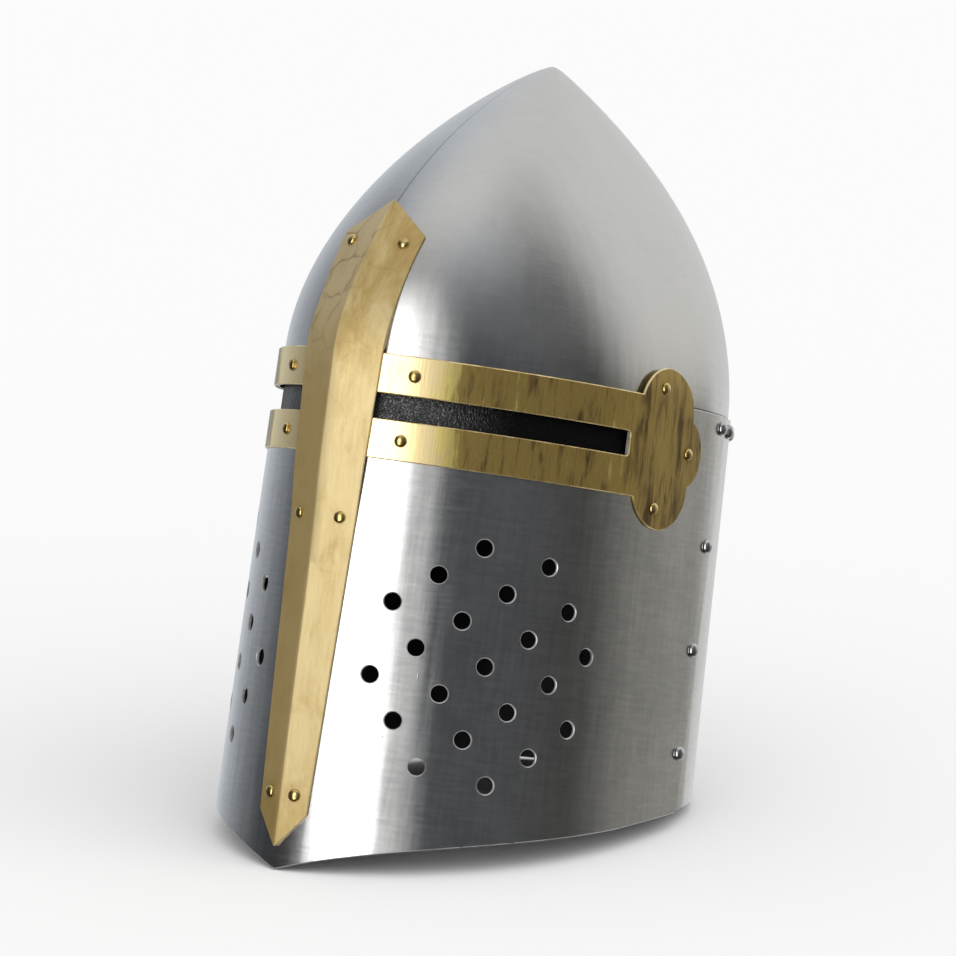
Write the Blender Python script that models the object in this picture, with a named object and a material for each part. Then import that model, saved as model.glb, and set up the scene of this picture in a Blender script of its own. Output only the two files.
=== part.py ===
"""Sugarloaf great helm: a pointed steel skull over a keeled face plate and a back plate,
with a brass cross that frames the sights, and a leather band inside.

The helmet is modelled upright, with the seam between skull and plates on the plane z = 0, the
keel toward -Y and the wearer's left toward +X. An empty then leans it back and stands it on the
point of its chin and the back of its rim, with the origin at the middle of its footprint.

Every plate and band is cut flat first, as a pattern of length round the helmet against height,
and then laid on the shell.
"""

import bmesh
import bpy
import numpy as np
from math import atan2, cos, exp, hypot, pi, radians, sin
from mathutils import Vector

MM = 0.001

# Shell, outer face of the skull at the seam
HALF_WIDTH = 106 * MM
FRONT_REACH = 145.5 * MM
BACK_REACH = 146 * MM
KEEL_DEPTH = 23 * MM

# Shell, the same sizes at the gauge level below the seam
GAUGE_DROP = 200 * MM
LOW_HALF_WIDTH = 112.5 * MM
LOW_FRONT_REACH = 148.5 * MM
LOW_BACK_REACH = 140 * MM
LOW_KEEL_DEPTH = 20 * MM
LOW_SHIFT = 8 * MM

# Skull above the seam
DOME_HEIGHT = 179 * MM
APEX_SHIFT = 16.5 * MM
SKULL_MARGIN = 12 * MM

# Fullness of the curves, as exponents
FRONT_FULLNESS = 0.8
BACK_FULLNESS = 0.78
SIDE_RISE = 1.62
BROW_RISE = 1.86
BROW_ROUND = 0.66
NAPE_RISE = 3.5
KEEL_FADE = 2.0

# Stance and rim
SEAM_HEIGHT = 232 * MM
LEAN = radians(12.75)
RIM_ARCH = 23 * MM
CHIN_WIDTH = 0.62

# Sheet metal and leather
STEEL = 1.5 * MM
BRASS = 1.2 * MM
LEATHER = 2.5 * MM
GAP = 0.3 * MM

# Sights and the bands that frame them
SIGHT_DROP = 25.2 * MM
SIGHT_OPENING = 13.2 * MM
SIGHT_START = 12 * MM
SIGHT_RELIEF = 0.4 * MM
SIGHT_CORNER = 2 * MM
ARM_WIDTH = 20.6 * MM
ARM_START = 8 * MM

# Trefoil at the rear end of each band, with the end of the sight ahead of it
LOBE_REACH = 196.5 * MM
LOBE_SPREAD = 18.4 * MM
LOBE_RADIUS = 24.5 * MM
REAR_LOBE_STEP = 16.5 * MM
REAR_LOBE_RADIUS = 19.5 * MM
REAR_LOBE_REACH = LOBE_REACH + REAR_LOBE_STEP
SIGHT_TO_LOBE = 30 * MM
SIGHT_END = LOBE_REACH - SIGHT_TO_LOBE

# Side seams, where the face plate laps over the back plate
SEAM_BEHIND_LOBE = 35.5 * MM
SEAM_REACH = REAR_LOBE_REACH + REAR_LOBE_RADIUS + SEAM_BEHIND_LOBE
SEAM_SLANT = 0.075
SEAM_LAP = 20 * MM
SEAM_RAMP = 9 * MM
SEAM_EDGE = 8 * MM

# Keel strap
STRAP_TOP = 83 * MM
STRAP_TOP_SHOULDER = 65 * MM
STRAP_TOP_HALF = 27 * MM
STRAP_LOW_HALF = 15 * MM
STRAP_LOW_SHOULDER = 30 * MM
STRAP_LOW_TIP = 12 * MM
STRAP_EDGE = 1.3 * MM
STRAP_RIDGE = 2.6 * MM
STRAP_STEP = 5 * MM
STRAP_CLEAR = 1 * MM
STRAP_SETTLE = 33 * MM

# Breath holes, a slanted square pattern on each cheek
BREATH_DIAMETER = 9 * MM
BREATH_PITCH_BACK = 27.4 * MM
BREATH_PITCH_DOWN = 26.4 * MM
BREATH_TURN_BACK = radians(37.7)
BREATH_TURN_DOWN = radians(34.1)
BREATH_REACH = 96.3 * MM
BREATH_DROP = 151 * MM
BREATH_ROWS = 5

# Rivets
BRASS_HEAD = 6.6 * MM
BRASS_HEAD_RISE = 2.2 * MM
STEEL_HEAD = 8 * MM
STEEL_HEAD_RISE = 3.4 * MM
HEAD_STEPS = ((0.0, 1.0), (0.3, 0.95), (0.78, 0.62))
UPPER_ARM_RIVET_REACH = 42 * MM
LOWER_ARM_RIVET_REACH = 39 * MM
TOP_RIVET_RISE = 59.5 * MM
MIDDLE_RIVET_DROP = 85 * MM
BOTTOM_RIVET_DROP = 230 * MM
TOP_RIVET_SHARE = 0.66
MIDDLE_RIVET_SHARE = 0.62
BOTTOM_RIVET_SHARE = 0.5
LOBE_RIVET_INSET = 11 * MM
LOBE_RIVET_FORWARD = 5 * MM
SEAM_RIVET_DROP = 7 * MM
SEAM_RIVET_LAST_DROP = 185 * MM
SEAM_RIVET_SHARES = (0.0, 0.365, 0.685, 1.0)
NAPE_RIVET_DROP = 7 * MM
NAPE_RIVETS = 9

# Leather band behind the sights
LINER_TOP = 42 * MM
LINER_BOTTOM = 64 * MM
LINER_GAP = 0.6 * MM

# Fineness of the model
COLUMNS = 24
DOME_ROWS = 11
ROW_SPACING = 1.5
ROWS_BELOW = 5
ROWS_ABOVE = 6
HOLE_SIDES = 10
HEAD_SIDES = 8
UPPER_LOBE_STEPS = 9
REAR_LOBE_STEPS = 7
CORNER_STEPS = 3
PLATE_CREASE = radians(22)
HEAD_CREASE = radians(50)
WELD = 0.05 * MM

TURN_SAMPLES = np.linspace(0.0, pi, 361)


def clear_scene():
    for thing in list(bpy.data.objects):
        bpy.data.objects.remove(thing, do_unlink=True)


def make_material(name, colour, roughness, metallic):
    material = bpy.data.materials.new(name)
    material.use_nodes = True
    shader = material.node_tree.nodes["Principled BSDF"]
    shader.inputs["Base Color"].default_value = (*colour, 1.0)
    shader.inputs["Roughness"].default_value = roughness
    shader.inputs["Metallic"].default_value = metallic
    return material


# Shell formulas

def level_sizes(height):
    """Half width, front reach, back reach, keel depth and centre line of the section at a height."""
    if height <= 0:
        share = -height / GAUGE_DROP
        return (HALF_WIDTH + (LOW_HALF_WIDTH - HALF_WIDTH) * share,
                FRONT_REACH + (LOW_FRONT_REACH - FRONT_REACH) * share,
                BACK_REACH + (LOW_BACK_REACH - BACK_REACH) * share,
                KEEL_DEPTH + (LOW_KEEL_DEPTH - KEEL_DEPTH) * share,
                LOW_SHIFT * share)
    share = min(height / DOME_HEIGHT, 1.0)
    side = 1 - share ** SIDE_RISE
    centre = APEX_SHIFT * share
    brow = APEX_SHIFT - (FRONT_REACH + APEX_SHIFT) * (1 - share ** BROW_RISE) ** BROW_ROUND
    nape = APEX_SHIFT + (BACK_REACH - APEX_SHIFT) * (1 - share ** NAPE_RISE)
    keel = KEEL_DEPTH * side * (1 - share) / (1 + KEEL_FADE * share)
    return HALF_WIDTH * side, centre - brow, nape - centre, keel, centre


def section(turn, height):
    """Point of the shell at an angle from the keel, positive toward the wearer's left."""
    half_width, front, back, keel, centre = level_sizes(height)
    along = cos(turn)
    if along >= 0:
        y = centre - (front - keel) * along ** FRONT_FULLNESS - keel * (1 - abs(sin(turn)))
    else:
        y = centre + back * (-along) ** BACK_FULLNESS
    return Vector((half_width * sin(turn), y, height))


def outward(turn, height):
    """Unit normal of the shell, averaged over the crease at the keel."""
    step = 0.01
    rise = 0.5 * MM
    total = Vector((0, 0, 0))
    for near, far in ((turn - step, turn), (turn, turn + step)):
        middle = (near + far) / 2
        round_way = section(far, height) - section(near, height)
        up_way = section(middle, height + rise) - section(middle, height - rise)
        total += round_way.cross(up_way).normalized()
    return total.normalized()


def lengths_round(height):
    """Length along the section from the keel to each sampled angle."""
    points = [section(turn, height) for turn in TURN_SAMPLES]
    steps = [(far - near).length for near, far in zip(points, points[1:])]
    return np.concatenate(([0.0], np.cumsum(steps)))


LENGTHS = {}


def lengths_at(height):
    """Lengths on the section at a height, blended between the seam's and the gauge level's."""
    if not LENGTHS:
        LENGTHS["seam"] = lengths_round(0.0)
        LENGTHS["low"] = lengths_round(-GAUGE_DROP)
    share = max(-height, 0.0) / GAUGE_DROP
    return LENGTHS["seam"] + (LENGTHS["low"] - LENGTHS["seam"]) * share


def turn_at(reach, height):
    """Angle at a length round the helmet from the keel, which keeps the length's sign."""
    turn = float(np.interp(abs(reach), lengths_at(height), TURN_SAMPLES))
    return turn if reach >= 0 else -turn


def half_round(height):
    return float(lengths_at(height)[-1])


def rim_lift(turn):
    """Height of the rim over the surface that the helmet stands on."""
    return RIM_ARCH * (1 - exp(-abs(turn) / CHIN_WIDTH)) * (1 + cos(turn)) / 2


def rim_height(turn):
    """Height, on the upright helmet, where the leaning cut of the rim crosses the shell."""
    at_seam = section(turn, 0.0).y
    at_gauge = section(turn, -GAUGE_DROP).y
    drift = (at_seam - at_gauge) / GAUGE_DROP
    return (rim_lift(turn) - SEAM_HEIGHT + at_seam * sin(LEAN)) / (cos(LEAN) - drift * sin(LEAN))


def reach_at(turn, height):
    """Length round the helmet from the keel to an angle, which keeps the angle's sign."""
    reach = float(np.interp(abs(turn), TURN_SAMPLES, lengths_at(height)))
    return reach if turn >= 0 else -reach


def seam_edge(height):
    """Length from the keel to the face plate's rear edge, which slants forward as it goes down."""
    return SEAM_REACH + SEAM_SLANT * height


def back_turn(reach, height):
    """Angle at a length measured from the middle of the back, positive toward the wearer's right."""
    turn = turn_at(half_round(height) - abs(reach), height)
    return -turn if reach >= 0 else turn


def back_reach(turn, height):
    """Length to an angle, measured from the middle of the back."""
    return half_round(height) - reach_at(turn, height)


def place(turn, height, lift):
    return section(turn, height) + outward(turn, height) * lift


# Patterns

def column_turns():
    """Angles of the straight lines down the shell on which every sheet is bent."""
    step = half_round(0.0) / COLUMNS
    return [turn_at(step * index, 0.0) for index in range(COLUMNS + 1)]


def fold_line(near, far):
    """Cut through two pattern points, as a point and a direction across the line."""
    return (near[0], near[1], 0.0), (near[1] - far[1], far[0] - near[0], 0.0)


def fold_lines(reach_of, turns):
    """Cuts along the shell's straight lines at the given angles, on both sides of the pattern."""
    lines = []
    for turn in turns:
        high = (reach_of(turn, 0.0), 0.0)
        low = (reach_of(turn, -GAUGE_DROP), -GAUGE_DROP)
        lines.append(fold_line(high, low))
        if high[0] > GAP:
            lines.append(fold_line((-high[0], high[1]), (-low[0], low[1])))
    return lines


def arc(centre, radius, start, end, count):
    """Points on a circle, without its last one."""
    angles = [start + (end - start) * index / count for index in range(count)]
    return [(centre[0] + radius * cos(angle), centre[1] + radius * sin(angle)) for angle in angles]


def circles_meet(first, first_radius, second, second_radius):
    """The crossing of two circles that lies farther from the keel."""
    gap = hypot(second[0] - first[0], second[1] - first[1])
    along = (first_radius ** 2 - second_radius ** 2 + gap ** 2) / (2 * gap)
    off = (first_radius ** 2 - along ** 2) ** 0.5
    ahead = ((second[0] - first[0]) / gap, (second[1] - first[1]) / gap)
    middle = (first[0] + ahead[0] * along, first[1] + ahead[1] * along)
    crossings = [(middle[0] - ahead[1] * off * way, middle[1] + ahead[0] * off * way) for way in (1, -1)]
    return max(crossings)


def angle_from(centre, point):
    return atan2(point[1] - centre[1], point[0] - centre[0])


def sight_outline(side):
    """Slot of one sight in the face plate, a little wider than the gap between the arms."""
    half = SIGHT_OPENING / 2 + SIGHT_RELIEF
    start = SIGHT_START
    end = SIGHT_END + SIGHT_RELIEF
    points = [(start, -SIGHT_DROP - half), (end, -SIGHT_DROP - half),
              (end, -SIGHT_DROP + half), (start, -SIGHT_DROP + half)]
    return [(side * reach, height) for reach, height in points]


def breath_centres():
    """Pattern places of one cheek's breath holes: a square of rows with its corners left off."""
    reach = (BREATH_ROWS - 1) // 2
    along = (BREATH_PITCH_BACK * cos(BREATH_TURN_BACK), BREATH_PITCH_BACK * sin(BREATH_TURN_BACK))
    down = (BREATH_PITCH_DOWN * sin(BREATH_TURN_DOWN), -BREATH_PITCH_DOWN * cos(BREATH_TURN_DOWN))
    centres = []
    for row in range(-reach, reach + 1):
        for column in range(-reach, reach + 1):
            if abs(row) == reach and abs(column) == reach:
                continue
            centres.append((BREATH_REACH + row * down[0] + column * along[0],
                            -BREATH_DROP + row * down[1] + column * along[1]))
    return centres


def band_outline():
    """Band of the wearer's left: two arms and the trefoil that joins them behind the sight."""
    top = arm_top()
    half = SIGHT_OPENING / 2
    upper = (LOBE_REACH, -SIGHT_DROP + LOBE_SPREAD)
    rear = (REAR_LOBE_REACH, -SIGHT_DROP)
    notch = circles_meet(upper, LOBE_RADIUS, rear, REAR_LOBE_RADIUS)
    if notch[1] < rear[1]:
        notch = (notch[0], 2 * rear[1] - notch[1])
    neck = LOBE_REACH - (LOBE_RADIUS ** 2 - (top - upper[1]) ** 2) ** 0.5
    start = angle_from(upper, (neck, top))
    end = angle_from(upper, notch)
    upper_lobe = arc(upper, LOBE_RADIUS, start, end, UPPER_LOBE_STEPS)
    spread = angle_from(rear, notch)
    rear_lobe = arc(rear, REAR_LOBE_RADIUS, spread, -spread, REAR_LOBE_STEPS)
    closing = [(notch[0], 2 * rear[1] - notch[1])]
    lower_lobe = [(reach, 2 * rear[1] - height) for reach, height in reversed(upper_lobe)]
    corner = (SIGHT_END - SIGHT_CORNER, rear[1] - half + SIGHT_CORNER)
    low_corner = arc(corner, SIGHT_CORNER, -pi / 2, 0, CORNER_STEPS)
    high_corner = [(reach, 2 * rear[1] - height) for reach, height in reversed(low_corner)]
    slot_end = low_corner + [(SIGHT_END, corner[1])] + [(SIGHT_END, 2 * rear[1] - corner[1])] + high_corner
    front = [(ARM_START, 2 * rear[1] - top), (ARM_START, rear[1] - half)]
    back = [(ARM_START, rear[1] + half), (ARM_START, top)]
    return upper_lobe + rear_lobe + closing + lower_lobe + front + slot_end + back


def rim_crossing(edge_of):
    """Angle at which a slanted edge of a plate meets the rim."""
    turn = turn_at(SEAM_REACH, 0.0)
    for _ in range(12):
        height = rim_height(turn)
        turn = turn_at(edge_of(height), height)
    return turn


def plate_outline(edge_of, reach_of, turns):
    """Plate outline from its two slanted edges, its straight top and the rim between them."""
    corner_turn = rim_crossing(edge_of)
    corner_height = rim_height(corner_turn)
    corner = (reach_of(corner_turn, corner_height), corner_height)
    rim = sorted((reach_of(turn, rim_height(turn)), rim_height(turn)) for turn in turns)
    rim = [point for point in rim if point[0] < corner[0] - STEEL]
    mirrored = [(-reach, height) for reach, height in rim[:0:-1]]
    top_turn = turn_at(edge_of(0.0), 0.0)
    top = reach_of(top_turn, 0.0)
    return [(-corner[0], corner[1])] + mirrored + rim + [corner, (top, 0.0), (-top, 0.0)]


# Sheets

def cut_sheet(outlines, lines):
    """Flat mesh inside the first outline and outside the others, divided along the given lines."""
    mesh = bmesh.new()
    for outline in outlines:
        corners = [mesh.verts.new((reach, height, 0.0)) for reach, height in outline]
        for near, far in zip(corners, corners[1:] + corners[:1]):
            mesh.edges.new((near, far))
    bmesh.ops.triangle_fill(mesh, edges=mesh.edges[:], use_beauty=True, use_dissolve=False)
    for point, direction in lines:
        everything = mesh.verts[:] + mesh.edges[:] + mesh.faces[:]
        bmesh.ops.bisect_plane(mesh, geom=everything, dist=WELD, plane_co=point, plane_no=direction)
    mesh.normal_update()
    for face in mesh.faces:
        if face.normal.z < 0:
            face.normal_flip()
    return mesh


def finish_object(name, mesh, material, stand, thickness=0.0, side=1.0):
    """Object from a mesh, given its thickness by a Solidify modifier and its place by the stand."""
    data = bpy.data.meshes.new(name)
    mesh.to_mesh(data)
    mesh.free()
    data.materials.append(material)
    data.shade_smooth()
    data.set_sharp_from_angle(angle=PLATE_CREASE)
    thing = bpy.data.objects.new(name, data)
    bpy.context.scene.collection.objects.link(thing)
    thing.parent = stand
    if thickness:
        wall = thing.modifiers.new("Wall", "SOLIDIFY")
        wall.thickness = thickness
        wall.offset = side
        wall.use_even_offset = True
    return thing


def bend(mesh, turn_of, lift_of):
    """Lays a flat pattern on the shell, lifted off it by the given height."""
    for vertex in mesh.verts:
        reach, height = vertex.co.x, vertex.co.y
        vertex.co = place(turn_of(reach, height), height, lift_of(reach, height))


def make_grid(name, rows, lift, material, stand, thickness, side, apex=None):
    """Ring of quads round the shell through rows of heights, closed by a point where one is given."""
    turns = column_turns()
    turns = turns + [-turn for turn in turns[-2:0:-1]]
    mesh = bmesh.new()
    rings = [[mesh.verts.new(place(turn, height, lift)) for turn in turns] for height in rows]
    for lower, upper in zip(rings, rings[1:]):
        for index in range(len(turns)):
            after = (index + 1) % len(turns)
            mesh.faces.new((lower[index], lower[after], upper[after], upper[index]))
    if apex is not None:
        tip = mesh.verts.new(apex)
        for index in range(len(turns)):
            mesh.faces.new((rings[-1][index], rings[-1][(index + 1) % len(turns)], tip))
    return finish_object(name, mesh, material, stand, thickness, side)


def make_skull(material, stand):
    shares = [1 - (1 - index / DOME_ROWS) ** ROW_SPACING for index in range(DOME_ROWS)]
    rows = [-SKULL_MARGIN] + [DOME_HEIGHT * share for share in shares]
    apex = (0.0, APEX_SHIFT, DOME_HEIGHT)
    return make_grid("skull", rows, 0.0, material, stand, STEEL, -1.0, apex)


def make_liner(material, stand):
    rows = [-LINER_BOTTOM, -SKULL_MARGIN, 0.0, LINER_TOP / 2, LINER_TOP]
    return make_grid("liner", rows, -STEEL - LINER_GAP, material, stand, LEATHER, -1.0)


def face_plate_lift(reach, height):
    """Lift of the face plate's inner face, which steps out over the back plate near the seam."""
    flat = seam_edge(height) - SEAM_LAP - SEAM_EDGE / 2
    share = (abs(reach) - flat + SEAM_RAMP) / SEAM_RAMP
    return GAP + (STEEL + GAP) * min(max(share, 0.0), 1.0)


def make_face_plate(material, stand):
    holes = [sight_outline(side) for side in (1, -1)]
    for side in (1, -1):
        for reach, height in breath_centres():
            holes.append(arc((side * reach, height), BREATH_DIAMETER / 2, 0, 2 * pi, HOLE_SIDES))
    turns = [turn for turn in column_turns() if reach_at(turn, 0.0) < SEAM_REACH]
    ramp_end = SEAM_REACH - SEAM_LAP - SEAM_EDGE / 2
    ramps = []
    for side in (1, -1):
        for reach in (ramp_end, ramp_end - SEAM_RAMP):
            lower = reach - SEAM_SLANT * GAUGE_DROP
            ramps.append(fold_line((side * reach, 0.0), (side * lower, -GAUGE_DROP)))
    outline = plate_outline(seam_edge, reach_at, turns)
    mesh = cut_sheet([outline] + holes, fold_lines(reach_at, turns) + ramps)
    bend(mesh, turn_at, face_plate_lift)
    return finish_object("face_plate", mesh, material, stand, STEEL)


def make_back_plate(material, stand):
    turns = [turn for turn in column_turns() if reach_at(turn, 0.0) > SEAM_REACH - SEAM_LAP]
    outline = plate_outline(lapped_edge, back_reach, turns)
    mesh = cut_sheet([outline], fold_lines(back_reach, turns))
    bend(mesh, back_turn, lambda reach, height: GAP)
    return finish_object("back_plate", mesh, material, stand, STEEL)


def lapped_edge(height):
    """Length from the keel to the back plate's front edge, under the face plate."""
    return seam_edge(height) - SEAM_LAP


def band_lift():
    return GAP + STEEL + GAP


def make_band(name, side, material, stand):
    outline = [(side * reach, height) for reach, height in band_outline()]
    turns = [turn for turn in column_turns() if reach_at(turn, 0.0) < SEAM_REACH]
    mesh = cut_sheet([outline], fold_lines(reach_at, turns))
    bend(mesh, turn_at, lambda reach, height: band_lift())
    return finish_object(name, mesh, material, stand, BRASS)


# Keel strap

def strap_half(height):
    """Half width of the strap, which narrows evenly downward between its shoulders."""
    low = strap_low_shoulder()
    share = (height - low) / (STRAP_TOP_SHOULDER - low)
    return STRAP_LOW_HALF + (STRAP_TOP_HALF - STRAP_LOW_HALF) * share


def strap_low_tip():
    return rim_height(0.0) + STRAP_LOW_TIP


def strap_low_shoulder():
    return strap_low_tip() + STRAP_LOW_SHOULDER - STRAP_LOW_TIP


def arm_top():
    return -SIGHT_DROP + SIGHT_OPENING / 2 + ARM_WIDTH


def arm_bottom():
    return -SIGHT_DROP - SIGHT_OPENING / 2 - ARM_WIDTH


def strap_lift(height):
    """Lift of the strap's inner face: over the arms, down to the plate, and to the skull at the top."""
    over_arm = band_lift() + BRASS + GAP
    above = height - arm_top() - STRAP_CLEAR
    if above > 0:
        return over_arm + (GAP - over_arm) * min(above / STRAP_SETTLE, 1.0)
    share = min(max((arm_bottom() - STRAP_CLEAR - height) / (STRAP_STEP - STRAP_CLEAR), 0.0), 1.0)
    return over_arm + (band_lift() - over_arm) * share


def strap_rows():
    """Heights of the edges of the strap's cross sections and of their middles, from the bottom up."""
    low = strap_low_shoulder()
    high = arm_top() + STRAP_CLEAR
    below = [low + (arm_bottom() - STRAP_STEP - low) * index / ROWS_BELOW for index in range(ROWS_BELOW + 1)]
    level = below[1:] + [arm_bottom() - STRAP_CLEAR, -SIGHT_DROP, high]
    rows = [(below[0], strap_low_tip())] + [(height, height) for height in level]
    for index in range(1, ROWS_ABOVE + 1):
        share = index / ROWS_ABOVE
        edge = high + (STRAP_TOP_SHOULDER - high) * share
        rows.append((edge, edge + (STRAP_TOP - STRAP_TOP_SHOULDER) * share))
    return rows


def strap_turn(reach, height):
    """Angle at a length from the keel, measured on the section at that height."""
    half_width = level_sizes(height)[0]
    return turn_at(reach * HALF_WIDTH / half_width if height > 0 else reach, min(height, 0.0))


def strap_ring(mesh, edge, middle):
    """Cross section of the strap: five points on its inner face and three on its outer one."""
    lift = strap_lift(edge)
    half = strap_half(edge)
    ring = []
    points = [(share, 0.0) for share in (-1.0, -0.5, 0.0, 0.5, 1.0)]
    points += [(1.0, STRAP_EDGE), (0.0, STRAP_RIDGE), (-1.0, STRAP_EDGE)]
    for share, thick in points:
        level = edge + (middle - edge) * (1 - abs(share))
        ring.append(mesh.verts.new(place(strap_turn(share * half, level), level, lift + thick)))
    return ring


def make_strap(material, stand):
    """Brass bar of shallow V section, square to the keel between its shoulders, pointed at both ends."""
    mesh = bmesh.new()
    rings = [strap_ring(mesh, edge, middle) for edge, middle in strap_rows()]
    for lower, upper in zip(rings, rings[1:]):
        for index in range(len(lower)):
            after = (index + 1) % len(lower)
            mesh.faces.new((lower[index], lower[after], upper[after], upper[index]))
    for ring in (rings[0], rings[-1]):
        left_edge, left_half, middle, right_half, right_edge, right_top, ridge, left_top = ring
        mesh.faces.new((left_edge, left_half, middle, ridge, left_top))
        mesh.faces.new((middle, right_half, right_edge, right_top, ridge))
    bmesh.ops.triangulate(mesh, faces=mesh.faces[:])
    bmesh.ops.recalc_face_normals(mesh, faces=mesh.faces[:])
    return finish_object("keel_strap", mesh, material, stand)


# Rivets

def head_mesh(name, diameter, rise, material):
    """Domed rivet head on a flat underside, its axis along Z."""
    mesh = bmesh.new()
    rings = []
    for height_share, width_share in HEAD_STEPS:
        ring = []
        for index in range(HEAD_SIDES):
            angle = 2 * pi * index / HEAD_SIDES
            reach = diameter / 2 * width_share
            ring.append(mesh.verts.new((reach * cos(angle), reach * sin(angle), rise * height_share)))
        rings.append(ring)
    for lower, upper in zip(rings, rings[1:]):
        for index in range(HEAD_SIDES):
            after = (index + 1) % HEAD_SIDES
            mesh.faces.new((lower[index], lower[after], upper[after], upper[index]))
    top = mesh.verts.new((0.0, 0.0, rise))
    for index in range(HEAD_SIDES):
        mesh.faces.new((rings[-1][index], rings[-1][(index + 1) % HEAD_SIDES], top))
    mesh.faces.new(list(reversed(rings[0])))
    data = bpy.data.meshes.new(name)
    mesh.to_mesh(data)
    mesh.free()
    data.materials.append(material)
    data.shade_smooth()
    data.set_sharp_from_angle(angle=HEAD_CREASE)
    return data


def add_rivet(name, data, point, normal, stand):
    rivet = bpy.data.objects.new(name, data)
    bpy.context.scene.collection.objects.link(rivet)
    rivet.location = point
    rivet.rotation_mode = "QUATERNION"
    rivet.rotation_quaternion = normal.to_track_quat("Z", "Y")
    rivet.parent = stand
    return rivet


def sheet_rivet(name, data, reach, height, lift, stand):
    turn = turn_at(reach, height)
    normal = outward(turn, height)
    return add_rivet(name, data, section(turn, height) + normal * lift, normal, stand)


def strap_rivet(name, data, height, share, side, stand):
    """Rivet on one facet of the strap, at a share of its half width from the ridge."""
    lift = strap_lift(height)
    half = strap_half(height)
    ridge = place(0.0, height, lift + STRAP_RIDGE)
    edge = place(strap_turn(side * half, height), height, lift + STRAP_EDGE)
    above = height + STRAP_STEP
    ridge_up = place(0.0, above, strap_lift(above) + STRAP_RIDGE)
    normal = (edge - ridge).cross(ridge_up - ridge).normalized() * side
    return add_rivet(name, data, ridge + (edge - ridge) * share + normal * GAP, normal, stand)


def make_rivets(brass, steel, stand):
    brass_head = head_mesh("brass_head", BRASS_HEAD, BRASS_HEAD_RISE, brass)
    steel_head = head_mesh("steel_head", STEEL_HEAD, STEEL_HEAD_RISE, steel)
    on_band = band_lift() + BRASS + GAP
    on_lap = GAP + STEEL + GAP + STEEL + GAP
    on_nape = GAP + STEEL + GAP
    arm_middle = (SIGHT_OPENING + ARM_WIDTH) / 2
    lobe_high = LOBE_SPREAD + LOBE_RADIUS - LOBE_RIVET_INSET
    rear_reach = REAR_LOBE_REACH + REAR_LOBE_RADIUS - LOBE_RIVET_INSET - BRASS_HEAD / 2
    for word, side in (("left", 1), ("right", -1)):
        spots = [("upper_arm", UPPER_ARM_RIVET_REACH, arm_middle),
                 ("lower_arm", LOWER_ARM_RIVET_REACH, -arm_middle),
                 ("upper_lobe", LOBE_REACH - LOBE_RIVET_FORWARD, lobe_high),
                 ("lower_lobe", LOBE_REACH - LOBE_RIVET_FORWARD, -lobe_high),
                 ("rear_lobe", rear_reach, 0.0)]
        for spot, reach, rise in spots:
            name = f"brass_rivet_{spot}_{word}"
            sheet_rivet(name, brass_head, side * reach, rise - SIGHT_DROP, on_band, stand)
        pairs = (("top", TOP_RIVET_RISE, TOP_RIVET_SHARE),
                 ("middle", -MIDDLE_RIVET_DROP, MIDDLE_RIVET_SHARE),
                 ("bottom", -BOTTOM_RIVET_DROP, BOTTOM_RIVET_SHARE))
        for spot, height, share in pairs:
            strap_rivet(f"brass_rivet_{spot}_{word}", brass_head, height, share, side, stand)
        for index, share in enumerate(SEAM_RIVET_SHARES):
            drop = SEAM_RIVET_DROP + (SEAM_RIVET_LAST_DROP - SEAM_RIVET_DROP) * share
            reach = side * (seam_edge(-drop) - SEAM_EDGE)
            sheet_rivet(f"steel_rivet_seam_{word}_{index + 1}", steel_head, reach, -drop, on_lap, stand)
    span = half_round(0.0) - SEAM_REACH
    for index in range(NAPE_RIVETS):
        reach = span * (2 * (index + 0.5) / NAPE_RIVETS - 1)
        turn = back_turn(reach, -NAPE_RIVET_DROP)
        normal = outward(turn, -NAPE_RIVET_DROP)
        point = section(turn, -NAPE_RIVET_DROP) + normal * on_nape
        add_rivet(f"steel_rivet_nape_{index + 1}", steel_head, point, normal, stand)


def stand_up(stand):
    """Leans the helmet back and puts the bottom middle of its bounding box on the origin."""
    stand.rotation_euler = (-LEAN, 0.0, 0.0)
    bpy.context.view_layer.update()
    graph = bpy.context.evaluated_depsgraph_get()
    corners = []
    for thing in stand.children:
        shape = thing.evaluated_get(graph)
        corners += [shape.matrix_world @ vertex.co for vertex in shape.data.vertices]
    spans = [(min(corner[axis] for corner in corners), max(corner[axis] for corner in corners))
             for axis in range(3)]
    stand.location = (-sum(spans[0]) / 2, -sum(spans[1]) / 2, -spans[2][0])
    bpy.context.view_layer.update()


def main():
    clear_scene()
    steel = make_material("steel", (0.60, 0.61, 0.62), 0.32, 1.0)
    brass = make_material("brass", (0.74, 0.58, 0.30), 0.34, 1.0)
    leather = make_material("leather", (0.02, 0.02, 0.022), 0.55, 0.0)
    stand = bpy.data.objects.new("stand", None)
    bpy.context.scene.collection.objects.link(stand)
    make_skull(steel, stand)
    make_face_plate(steel, stand)
    make_back_plate(steel, stand)
    make_band("sight_band_left", 1, brass, stand)
    make_band("sight_band_right", -1, brass, stand)
    make_strap(brass, stand)
    make_liner(leather, stand)
    make_rivets(brass, steel, stand)
    stand_up(stand)


main()
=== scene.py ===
"""Looks of the pointed great helm: satin steel plates, a brass cross and a black leather band."""

import bpy
import numpy as np
from math import atan2, cos, hypot, pi, radians, sin
from mathutils import Matrix, Vector
from mathutils.geometry import delaunay_2d_cdt


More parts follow.
